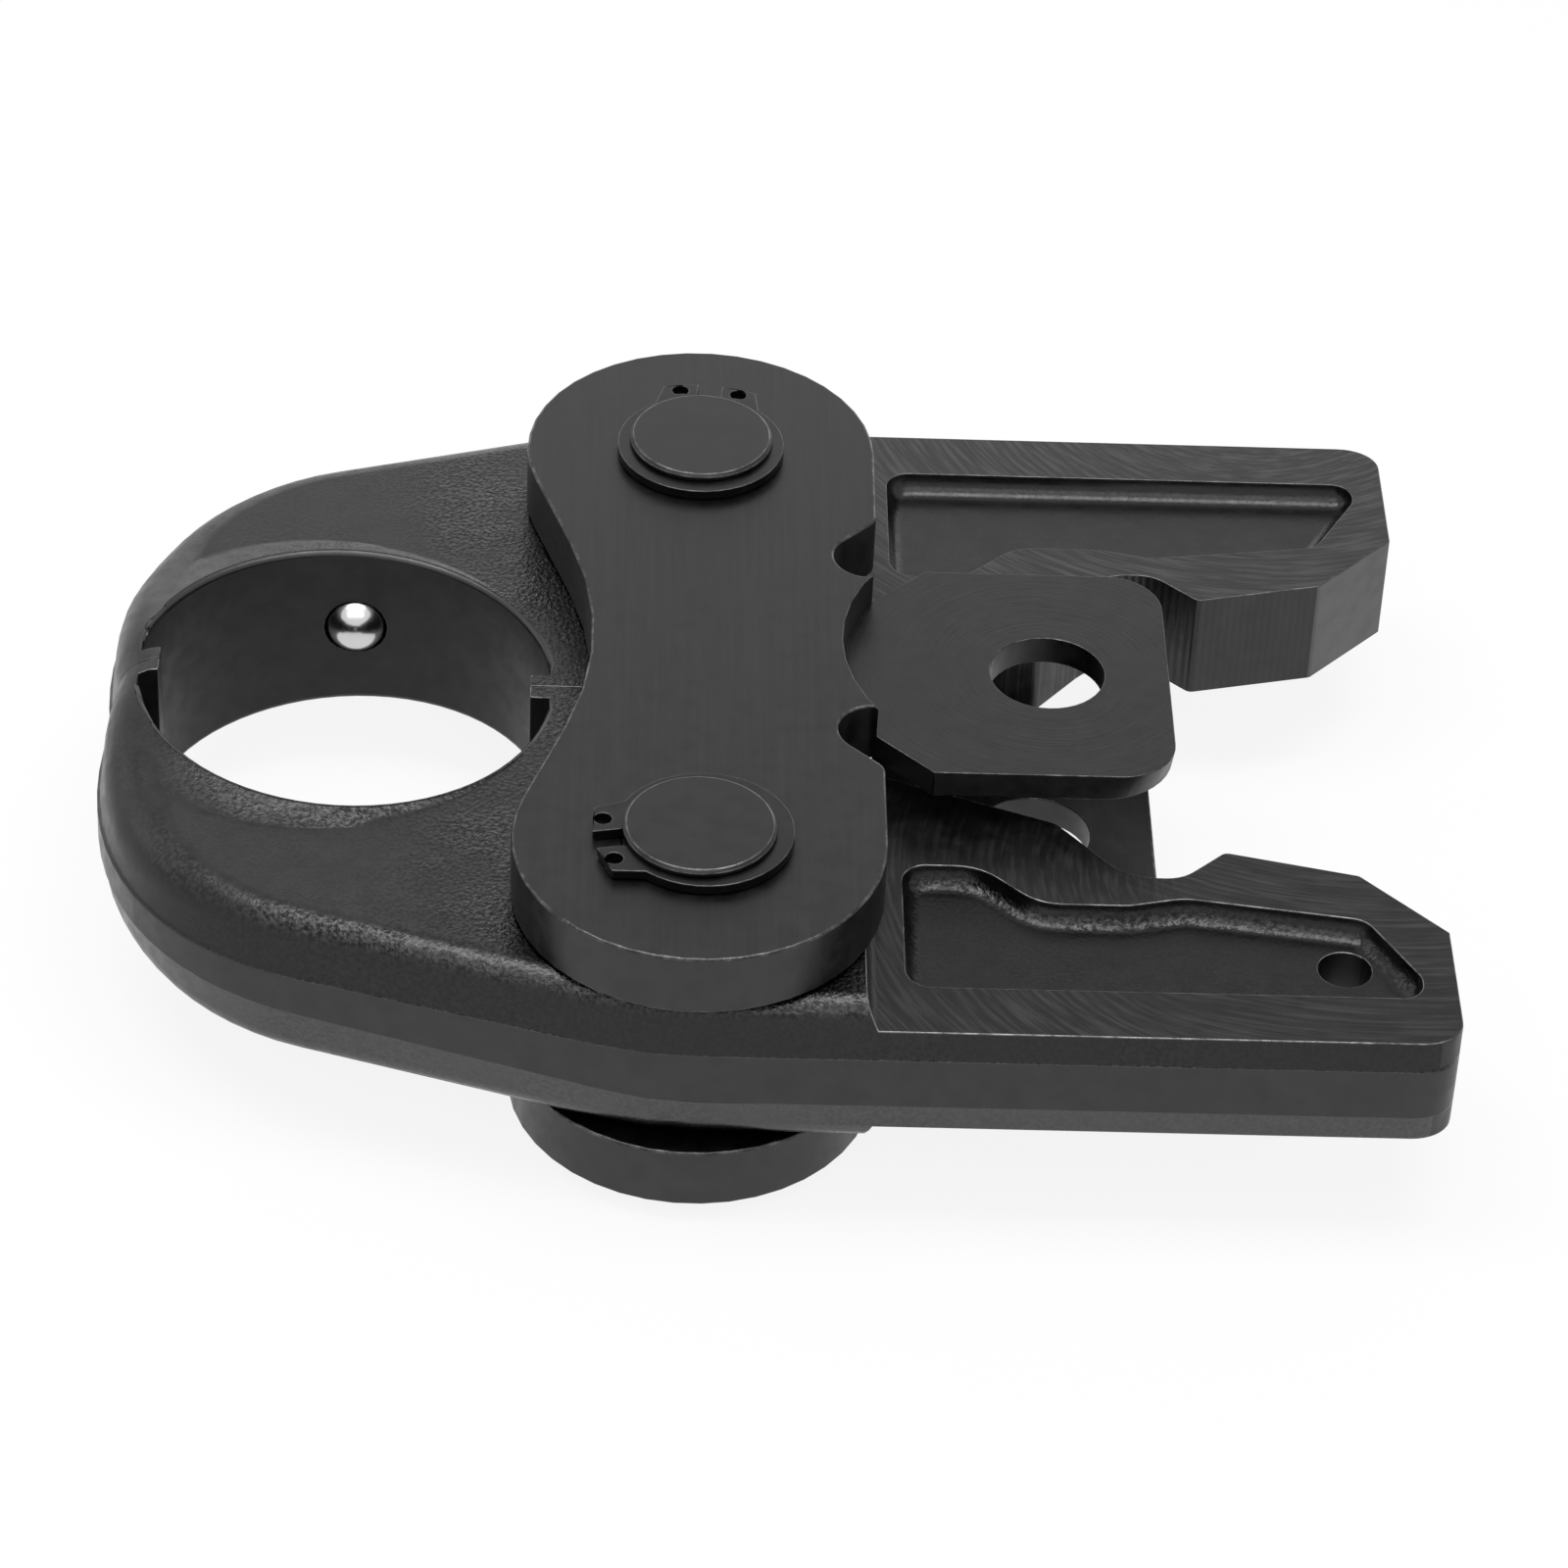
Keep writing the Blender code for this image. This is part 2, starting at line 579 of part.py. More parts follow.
def inner_profile():
    """What the profile cut takes off the far jaw: past its parting face, inner face and roller ramp."""
    end_slope = np.array((ARM_END_X - RAMP_END_X, END_CHAMFER_Y - RAMP_END_Y))
    past_end = np.array((RAMP_END_X, RAMP_END_Y)) + 2 * end_slope
    far_below = -ARM_OUTER_Y
    past_nose = NOSE_X - NOSE_BULGE - PAST
    return rounded(
        [
            (past_nose, far_below, 0),
            (past_end[0], far_below, 0),
            (*past_end, 0),
            (RAMP_END_X, RAMP_END_Y, RAMP_END_RADIUS),
            (ROLLER_TIP_X, ROLLER_TIP_Y, ROLLER_TIP_RADIUS),
            (RELIEF_END_X, RELIEF_Y, RELIEF_END_RADIUS),
            (RELIEF_START_X, RELIEF_Y, RELIEF_START_RADIUS),
            (INNER_CORNER_X, INNER_CORNER_Y, INNER_CORNER_RADIUS),
            (INNER_FACE_X, PARTING_Y, INNER_FACE_RADIUS),
            (past_nose, PARTING_Y, 0),
        ]
    )


def bore_profile():
    """Half of the insert bore, stepped in by a stop rib at each end along the parting face."""
    rib = PARTING_Y + STOP_RIB_THICKNESS
    edge = math.degrees(math.asin(rib / BORE_RADIUS))
    ends = BORE_RADIUS - STOP_RIB_REACH
    points = [(BORE_X + ends, -PAST), (BORE_X + ends, rib)]
    points += arc((BORE_X, 0), BORE_RADIUS, edge, 180 - edge, FINE_ARC_STEP)
    points += [(BORE_X - ends, rib), (BORE_X - ends, -PAST)]
    return points


def pocket_corners():
    """Corners of an arm pocket: straight along the outer rim, waved along the roller side."""
    outer = ARM_OUTER_Y - POCKET_OUTER_RIM
    heel_x, heel_y = MILL_STEP_X + POCKET_STEP_RIM, outer - POCKET_HEEL_WIDTH
    wave = RELIEF_Y + POCKET_RELIEF_RIM
    end = ARM_END_X - POCKET_END_RIM
    return [
        (heel_x, outer, POCKET_CORNER_RADIUS),
        (heel_x, heel_y, POCKET_CORNER_RADIUS),
        (heel_x + POCKET_HEEL_LENGTH, heel_y, POCKET_WAVE_RADIUS),
        (INNER_CORNER_X - POCKET_RELIEF_RIM / 2, wave, POCKET_WAVE_RADIUS),
        (RELIEF_START_X, wave, POCKET_WAVE_RADIUS),
        (RELIEF_END_X, ROLLER_TIP_Y + POCKET_TIP_RIM, POCKET_WAVE_RADIUS),
        (RAMP_END_X, RAMP_END_Y + POCKET_RAMP_RIM, POCKET_CORNER_RADIUS),
        (end, END_CHAMFER_Y + POCKET_RAMP_RIM, POCKET_CORNER_RADIUS),
        (end, outer, POCKET_CORNER_RADIUS),
    ]


def pocket_rings(side, up):
    """Rings of a pocket cutter, with the floor's fillet as a quarter round that its corners allow."""
    corners = pocket_corners()
    outline = rounded(corners) * np.array((1, side))
    floor = ARM_Z - POCKET_DEPTH
    fillet = min(POCKET_FILLET, POCKET_DEPTH, POCKET_FILLET_SHARE * least_radius(corners))
    rings = []
    for a in np.linspace(0, math.pi / 2, FILLET_STEPS + 1):
        height = floor + fillet * (1 - math.cos(a))
        rings.append((inset(outline, fillet * (1 - math.sin(a))), up * height))
    rings.append((outline, up * (ARM_Z + PAST)))
    return rings


def mill_cutter(name, side, up, pin):
    """Wedge-ended slab that mills one face of an arm down to the arm's thickness."""
    lean = math.tan(math.radians(MILL_STEP_LEAN))
    low, high = up * ARM_Z, up * (SEAT_Z + PAST)
    near_x = MILL_STEP_X - (SEAT_Z + PAST - ARM_Z) * lean
    past_x = ARM_END_X + PAST
    points = []
    for y in (-side * ARM_OUTER_Y, side * (ARM_OUTER_Y + PAST)):
        points += [(MILL_STEP_X, y, low), (past_x, y, low), (past_x, y, high), (near_x, y, high)]
    faces = [(0, 1, 2, 3), (4, 5, 6, 7)]
    for i in range(4):
        j = (i + 1) % 4
        faces.append((i, j, 4 + j, 4 + i))
    return solid(name, points, faces, pin)


def detent_profile():
    """Blind hole of a detent, from inside the bore: a lip that keeps the ball, then the spring's hole."""
    hole = BALL_DIAMETER / 2 + BALL_CLEARANCE
    lip_y = BORE_RADIUS + BALL_LIP_DEPTH
    ball_there = math.sqrt(max(0.0, (BALL_DIAMETER / 2) ** 2 - (BALL_Y - lip_y) ** 2))
    lip = min(ball_there + BALL_LIP_CLEARANCE, hole)
    start, bottom = BORE_RADIUS - PAST, BORE_RADIUS + DETENT_DEPTH
    return [(0, start), (lip, start), (lip, lip_y), (hole, lip_y), (hole, bottom), (0, bottom)]


def jaw(name, side, finish):
    """One jaw half: a forging with a collar round the bore, then everything that is cut into it."""
    pin = np.array((0, side * PIN_Y, 0))
    mirror = np.array((1, side))
    outline = forging_outline()
    body = loft(name, forging_rings(outline * mirror), pin, finish)
    combine(body, collar(f"{name}_collar", outline, pin), "UNION")

    past = SEAT_Z + PAST
    for cut, profile in (("profile", inner_profile()), ("bore", bore_profile())):
        ring = profile * mirror
        combine(body, loft(f"{name}_{cut}_cut", [(ring, -past), (ring, past)], pin))
    combine(body, cylinder(f"{name}_pin_hole", PIN_HOLE_RADIUS, -past, past, pin, origin=pin))
    for up, where in ((1, "upper"), (-1, "lower")):
        combine(body, mill_cutter(f"{name}_{where}_mill", side, up, pin))
        combine(body, loft(f"{name}_{where}_pocket", pocket_rings(side, up), pin))

    detent = turned(
        f"{name}_detent_hole",
        [(radius, side * y) for radius, y in detent_profile()],
        (BORE_X, 0, 0),
        axis="y",
        origin=pin,
        steps=SMALL_ROUND_STEPS,
    )
    combine(body, detent)

    recess = SPRING_COIL_DIAMETER / 2 + SPRING_WIRE / 2 + SPRING_RECESS_CLEARANCE
    floor = SPRING_RECESS_DEPTH - SEAT_Z
    combine(body, cylinder(f"{name}_spring_recess", recess, -past, floor, pin, origin=pin))
    jaw_leg, _ = spring_legs(side)
    drill = cylinder(
        f"{name}_leg_hole",
        SPRING_WIRE / 2 + SPRING_CLEARANCE,
        floor - SPRING_WIRE,
        jaw_leg[2] + SPRING_CLEARANCE,
        (*jaw_leg[:2], 0),
        origin=pin,
        steps=SMALL_ROUND_STEPS,
    )
    combine(body, drill)
    weld = body.modifiers.new("weld_slivers", "WELD")
    weld.merge_threshold = SLIVER * MM
    return body


def drill_arm(body, side):
    """The cross hole that only the near arm has."""
    pin, hole = (0, side * PIN_Y, 0), (ARM_HOLE_X, side * ARM_HOLE_Y, 0)
    past = ARM_Z + PAST
    drill = cylinder(f"{body.name}_arm_hole", ARM_HOLE_DIAMETER / 2, -past, past, hole, origin=pin)
    combine(body, drill)


def spring_path(side):
    """Centre line of a torsion spring: a leg up into the jaw, the coil, and a leg down into the plate."""
    radius = SPRING_COIL_DIAMETER / 2
    top = SPRING_RECESS_DEPTH - SEAT_Z - SPRING_CLEARANCE - SPRING_WIRE / 2
    bottom = -PLATE_INNER_Z + SPRING_CLEARANCE + SPRING_WIRE / 2
    turns = np.linspace(0, SPRING_TURNS, round(SPRING_TURNS * CURL_STEPS) + 1)
    angle = 2 * math.pi * turns
    height = top + (bottom - top) * turns / SPRING_TURNS
    coil = np.c_[radius * np.cos(angle), radius * np.sin(angle), height]
    bend = np.radians(LEG_BEND_ANGLES)
    leaving = np.array((-math.sin(angle[-1]), math.cos(angle[-1]), 0))
    legs = []
    for end, tangent, climb in ((coil[0], np.array((0, -1, 0)), 1), (coil[-1], leaving, -1)):
        forward = SPRING_LEG_BEND * np.sin(bend)[:, None] * tangent
        rise = SPRING_LEG_BEND * (1 - np.cos(bend))[:, None] * np.array((0, 0, climb))
        curve = end + forward + rise
        tip = curve[0] + np.array((0, 0, climb * SPRING_LEG_LENGTH))
        middle = (curve[0] + tip) / 2
        legs.append(np.vstack((tip, middle, curve)))
    path = np.vstack((legs[0], coil, legs[1][::-1]))
    return path * (1, side, 1) + (0, side * PIN_Y, 0)


def spring_legs(side):
    """Tips of a torsion spring's two legs: the one in the jaw and the one in the lower plate."""
    path = spring_path(side)
    return path[0], path[-1]


def drill_leg_hole(plate, side, where):
    """Blind hole in the lower plate for the lower leg of a torsion spring."""
    _, leg = spring_legs(side)
    drill = cylinder(
        f"{plate.name}_{where}_leg_hole",
        SPRING_WIRE / 2 + SPRING_CLEARANCE,
        leg[2] - SPRING_CLEARANCE,
        -PLATE_INNER_Z + PAST,
        (*leg[:2], 0),
        steps=SMALL_ROUND_STEPS,
    )
    combine(plate, drill)


def detent_ball(name, side, finish):
    """The ball of a detent, standing proud of the bore's wall."""
    centre = (BORE_X, side * BALL_Y, 0)
    mesh = bpy.data.meshes.new(name)
    work = bmesh.new()
    radius = MM * BALL_DIAMETER / 2
    bmesh.ops.create_uvsphere(work, u_segments=SMALL_ROUND_STEPS, v_segments=BALL_STEPS, radius=radius)
    work.to_mesh(mesh)
    work.free()
    mesh.shade_smooth()
    return new_object(name, mesh, centre, finish)


def detent_spring(name, side, finish):
    """The coil behind a detent ball, along y from the ball to the bottom of its hole."""
    clear = SPRING_CLEARANCE + DETENT_WIRE / 2
    low = BALL_Y + BALL_DIAMETER / 2 + clear
    high = BORE_RADIUS + DETENT_DEPTH - clear
    turns = np.linspace(0, DETENT_TURNS, round(DETENT_TURNS * CURL_STEPS) + 1)
    radius, angle = DETENT_COIL_DIAMETER / 2, 2 * math.pi * turns
    y = side * (low + (high - low) * turns / DETENT_TURNS)
    path = np.c_[BORE_X + radius * np.cos(angle), y, radius * np.sin(angle)]
    return wire(name, path, DETENT_WIRE, (BORE_X, side * high, 0), finish)


def build():
    """Make every piece of the press jaw."""
    clear_scene()
    assembly = bpy.data.objects.new("assembly", None)
    bpy.context.scene.collection.objects.link(assembly)
    nose_tip = forging_outline()[:, 0].min()
    assembly.location = (-MM * (nose_tip + ARM_END_X) / 2, 0, MM * PIN_END_Z)

    plate_steel = metal("blackened_plate_steel", (0.055, 0.055, 0.057), 0.48)
    forged_steel = metal("blackened_forged_steel", (0.048, 0.048, 0.050), 0.55)
    pin_steel = metal("blackened_pin_steel", (0.060, 0.060, 0.062), 0.40)
    clip_steel = metal("phosphated_clip_steel", (0.035, 0.035, 0.036), 0.35)
    ball_steel = metal("polished_ball_steel", (0.80, 0.80, 0.80), 0.06)
    spring_steel = metal("bright_spring_steel", (0.42, 0.42, 0.43), 0.30)

    side_plate("upper_plate", 1, plate_steel)
    lower_plate = side_plate("lower_plate", -1, plate_steel)
    for side, where, turn in ((1, "far", FAR_CLIP_TURN), (-1, "near", NEAR_CLIP_TURN)):
        pivot_pin(f"{where}_pin", side, pin_steel)
        circlip(f"{where}_upper_circlip", side, 1, turn, clip_steel)
        circlip(f"{where}_lower_circlip", side, -1, turn, clip_steel)
        body = jaw(f"{where}_jaw", side, forged_steel)
        if where == "near":
            drill_arm(body, side)
        drill_leg_hole(lower_plate, side, where)
        pin = (0, side * PIN_Y, 0)
        wire(f"{where}_return_spring", spring_path(side), SPRING_WIRE, pin, spring_steel)
        detent_ball(f"{where}_detent_ball", side, ball_steel)
        detent_spring(f"{where}_detent_spring", side, spring_steel)


build()
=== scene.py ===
"""Looks of a press jaw: blackened forged halves between brushed plates, on a pale studio floor.

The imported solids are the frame. Plates, jaw halves and circlips are merged copies of their solids, with
narrow rounded edges, smooth shading and a finish for each kind of machining. Pins, balls and springs are
finer surfaces of revolution and tubes. Lengths in the dataclasses are millimetres, measured from the
middle between the pins, where nothing else is said.
"""

import logging
import math
from dataclasses import dataclass
from enum import Enum
from typing import Any

import bmesh
import bpy
import numpy as np
from mathutils import Matrix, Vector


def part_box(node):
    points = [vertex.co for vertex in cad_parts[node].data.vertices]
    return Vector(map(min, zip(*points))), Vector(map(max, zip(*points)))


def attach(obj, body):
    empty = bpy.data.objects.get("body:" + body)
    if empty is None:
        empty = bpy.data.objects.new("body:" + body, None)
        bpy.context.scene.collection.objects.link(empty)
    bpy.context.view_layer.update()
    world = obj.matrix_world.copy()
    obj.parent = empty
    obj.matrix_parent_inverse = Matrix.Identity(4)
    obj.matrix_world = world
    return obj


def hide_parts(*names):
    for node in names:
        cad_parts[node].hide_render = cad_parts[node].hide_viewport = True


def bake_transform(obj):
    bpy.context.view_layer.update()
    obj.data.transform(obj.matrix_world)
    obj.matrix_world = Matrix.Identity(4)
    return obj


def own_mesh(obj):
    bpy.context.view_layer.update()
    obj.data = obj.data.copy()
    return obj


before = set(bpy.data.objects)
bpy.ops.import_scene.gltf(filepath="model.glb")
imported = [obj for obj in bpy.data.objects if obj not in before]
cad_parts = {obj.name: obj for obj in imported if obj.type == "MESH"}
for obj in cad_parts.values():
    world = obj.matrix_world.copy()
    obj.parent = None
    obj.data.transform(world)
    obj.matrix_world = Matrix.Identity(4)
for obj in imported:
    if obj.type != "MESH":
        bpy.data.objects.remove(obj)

LOG = logging.getLogger("press_jaw")
MM = 0.001
PHOTO_PIXELS = 1600
SENSOR_WIDTH = 36.0
MERGE_REACH = 1e-6
SLIVER_REACH = 1e-7
FLAT_ANGLE = 0.05
SHARP_ANGLE = 40.0
FLATNESS_WEIGHT = 80
EDGE_STEPS = 3
EDGE_FINISH = 1          # the number of the rubbed edge's finish on pins and circlips
WIRE_SIDES = 16
WAVE_PHASE = 20.0        # radians that the wave texture runs through in one unit of its scaled length

Socket = bpy.types.NodeSocket
Triple = tuple[float, float, float]


class Side(Enum):
    """The two jaw halves, with the sign of their y."""

    FAR = 1
    NEAR = -1

    @property
    def word(self) -> str:
        """The half's name in node names."""
        return self.name.lower()


@dataclass(frozen=True)
class Datum:
    """Where the middle between the pins lies in the world, read from the frame."""

    x: float
    z: float
    plate_top: float
    pin_y: float

    @classmethod
    def from_frame(cls) -> "Datum":
        """Read the datum from the far pin and the upper plate."""
        low, high = (np.array(corner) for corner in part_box("far_pin"))
        middle = (low + high) / 2
        return cls(middle[0], middle[2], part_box("upper_plate")[1][2], middle[1])

    def world(self, points: np.ndarray) -> np.ndarray:
        """Turn points in millimetres from the datum into world metres."""
        return np.asarray(points) * MM + (self.x, 0, self.z)

    def local(self, points: np.ndarray) -> np.ndarray:
        """Turn world metres into millimetres from the datum."""
        return (np.asarray(points) - (self.x, 0, self.z)) / MM


class Graph:
    """A material's node tree, built one linked node at a time."""

    def __init__(self, tree: bpy.types.NodeTree) -> None:
        """Work on this tree."""
        self.tree = tree

    def node(self, kind: str, inputs: dict[Any, Any] | None = None, **settings: Any) -> bpy.types.Node:
        """Add a node.

        Args:
            kind: The node's class, without its ShaderNode prefix.
            inputs: Values or output sockets for its inputs, by name or number.
            settings: Values for the node's own properties.

        Returns:
            The new node.
        """
        made = self.tree.nodes.new(f"ShaderNode{kind}")
        for key, value in settings.items():
            setattr(made, key, value)
        for key, value in (inputs or {}).items():
            self.feed(made.inputs[key], value)
        return made

    def feed(self, socket: Socket, value: Any) -> None:
        """Link an output to a socket, or set the socket's value.

        Args:
            socket: The input to feed.
            value: An output socket, or a value of the input's own kind.
        """
        if isinstance(value, Socket):
            self.tree.links.new(value, socket)
        else:
            socket.default_value = value

    def math(self, operation: str, *terms: Any) -> Socket:
        """A sum, product or other operation on numbers."""
        made = self.node("Math", dict(enumerate(terms)), operation=operation)
        return made.outputs["Value"]

    def place(self, centre: Triple = (0, 0, 0), scale: Triple = (1, 1, 1)) -> Socket:
        """Object coordinates seen from a centre, then stretched.

        Args:
            centre: The new origin, in world metres.
            scale: How much each axis is stretched.

        Returns:
            The coordinates.
        """
        coords = self.node("TexCoord").outputs["Object"]
        offset = tuple(-c for c in centre)
        moved = self.node("Mapping", {"Vector": coords, "Location": offset}).outputs["Vector"]
        return self.node("Mapping", {"Vector": moved, "Scale": scale}).outputs["Vector"]

    def along_x(self) -> Socket:
        """How far a point lies along x, in world metres."""
        return self.node("SeparateXYZ", {0: self.place()}).outputs["X"]

    def upward(self) -> Socket:
        """How far a surface faces up, from -1 to 1."""
        normal = self.node("NewGeometry").outputs["Normal"]
        return self.node("SeparateXYZ", {0: normal}).outputs["Z"]

    def noise(self, per_metre: float | Triple, detail: float = 2.0, roughness: float = 0.5) -> Socket:
        """Cloudy noise.

        Args:
            per_metre: About how many spots lie in a metre, the same or other along each axis.
            detail: How many finer layers it has.
            roughness: How strong the finer layers are.

        Returns:
            The noise, about 0.5 in the mean.
        """
        scale = per_metre if isinstance(per_metre, tuple) else (per_metre,) * 3
        inputs = {"Vector": self.place(scale=scale), "Scale": 1.0, "Detail": detail}
        return self.node("TexNoise", {**inputs, "Roughness": roughness}).outputs["Fac"]

    def streaks(self, centre: Triple, pitch: float, per_radian: float) -> Socket:
        """Noise drawn out along rings about an upright axis, as a cutter's marks.

        Its two coordinates are the distance from the axis and the angle from -y.

        Args:
            centre: Where the axis stands, in world metres.
            pitch: The marks' mean spacing in millimetres.
            per_radian: How often a mark starts or ends along a radian.

        Returns:
            The noise, about 0.5 in the mean.
        """
        point = self.node("SeparateXYZ", {0: self.place(centre)}).outputs
        reach = self.math("SQRT", self.math("ADD", *(self.math("POWER", point[k], 2.0) for k in "XY")))
        angle = self.math("ARCTAN2", point["X"], self.math("MULTIPLY", point["Y"], -1.0))
        across = self.math("MULTIPLY", reach, 1 / (pitch * MM))
        along = self.math("MULTIPLY", angle, per_radian)
        spot = self.node("CombineXYZ", {"X": across, "Y": along}).outputs["Vector"]
        return self.node("TexNoise", {"Vector": spot, "Scale": 1.0, "Detail": 3.0}).outputs["Fac"]

    def span(self, value: Socket, low: float, high: float, first: float = 0.0, last: float = 1.0) -> Socket:
        """Map the stretch from low to high onto the one from first to last, smoothly and clamped."""
        inputs = {"Value": value, "From Min": low, "From Max": high, "To Min": first, "To Max": last}
        return self.node("MapRange", inputs, interpolation_type="SMOOTHSTEP").outputs["Result"]

    def blend(self, share: Socket, first: Any, second: Any) -> Socket:
        """A colour between two others."""
        made = self.node("MixRGB", {"Fac": share, "Color1": first, "Color2": second})
        return made.outputs["Color"]

    def bump(self, height: Socket, depth: float, below: Socket | None = None) -> Socket:
        """A normal that follows a height field.

        Args:
            height: The field, from 0 to 1.
            depth: How deep it is, in millimetres.
            below: The normal that it lies on, where that isn't the surface's own.

        Returns:
            The bent normal.
        """
        made = self.node("Bump", {"Height": height, "Distance": depth * MM, "Strength": 1.0})
        if below is not None:
            self.feed(made.inputs["Normal"], below)
        return made.outputs["Normal"]


def grey(tone: float) -> tuple[float, float, float, float]:
    """A linear grey."""
    return (tone, tone, tone, 1.0)


@dataclass(frozen=True)
class Steel:
    """A metal finish with a mottled tone and an uneven gloss.

    Kinds of machining override cloud(), colour(), gloss() or relief(). Their depths and pitches are
    millimetres, and their centres and places along x are world metres.
    """

    name: str
    tone: float
    roughness: float
    tone_spread: float = 0.06
    gloss_spread: float = 0.05
    mottle_per_metre: float = 260.0
    gloss_per_metre: float = 442.0
    fine_per_metre: float = 2600.0
    fine_depth: float = 0.010

    def fine_grain(self, graph: Graph) -> Socket:
        """The normal of the fine grain that lies under a cutter's marks."""
        return graph.bump(graph.noise(self.fine_per_metre), self.fine_depth)

    def relief(self, graph: Graph) -> Socket | None:
        """The normal of this machining's own relief, if it has one."""
        return None

    def cloud(self, graph: Graph) -> Socket:
        """Where the tone lies between dark at 0 and light at 1."""
        return graph.span(graph.noise(self.mottle_per_metre, detail=5.0, roughness=0.6), 0.25, 0.75)

    def colour(self, graph: Graph) -> Socket:
        """The tone with its cloudy variation."""
        dark, light = (grey(self.tone * (1 + way * self.tone_spread)) for way in (-1, 1))
        return graph.blend(self.cloud(graph), dark, light)

    def gloss(self, graph: Graph) -> Socket:
        """The uneven roughness."""
        low, high = self.roughness - self.gloss_spread, self.roughness + self.gloss_spread
        return graph.span(graph.noise(self.gloss_per_metre, detail=3.0), 0.3, 0.7, low, high)

    def make(self) -> bpy.types.Material:
        """Build the material.

        Returns:
            The material, with its colour, gloss and normal from its nodes.
        """
        material = bpy.data.materials.new(self.name)
        material.use_nodes = True
        graph = Graph(material.node_tree)
        shader = material.node_tree.nodes["Principled BSDF"]
        graph.feed(shader.inputs["Base Color"], self.colour(graph))
        graph.feed(shader.inputs["Roughness"], self.gloss(graph))
        normal = self.relief(graph)
        if normal is not None:
            graph.feed(shader.inputs["Normal"], normal)
        shader.inputs["Metallic"].default_value = 1.0
        return material


@dataclass(frozen=True)
class Worn(Steel):
    """Rubbed edge: bright steel in nicks and patches, with the dark finish between them."""

    bright: float = 0.13
    patch_per_metre: float = 480.0
    least: float = 0.30
    most: float = 0.75

    def colour(self, graph: Graph) -> Socket:
        """The dark finish, rubbed through in patches."""
        spots = graph.noise(self.patch_per_metre, detail=4.0, roughness=0.7)
        patches = graph.span(spots, self.least, self.most)
        return graph.blend(patches, super().colour(graph), grey(self.bright))


@dataclass(frozen=True)
class Brushed(Steel):
    """Ground plate with fine lines along y."""

    line_per_metre: float = 2400.0
    line_length_per_metre: float = 48.0
    line_depth: float = 0.006

    def lines(self, graph: Graph) -> Socket:
        """Noise drawn out along y."""
        across, along = self.line_per_metre, self.line_length_per_metre
        return graph.noise((across, along, across), detail=3.0, roughness=0.65)

    def cloud(self, graph: Graph) -> Socket:
        """The lines show in the tone too."""
        return graph.span(self.lines(graph), 0.3, 0.7)

    def relief(self, graph: Graph) -> Socket:
        """Fine straight scratches."""
        return graph.bump(self.lines(graph), self.line_depth)


@dataclass(frozen=True)
class Turned(Steel):
    """Face turned or spot-faced about an upright axis, with faint rings."""

    centre: Triple = (0, 0, 0)
    pitch: float = 0.5
    per_radian: float = 1.5
    depth: float = 0.012
    fine_depth: float = 0.008

    def relief(self, graph: Graph) -> Socket:
        """Shallow rings over the fine grain."""
        rings = graph.streaks(self.centre, self.pitch, self.per_radian)
        return graph.bump(rings, self.depth, self.fine_grain(graph))


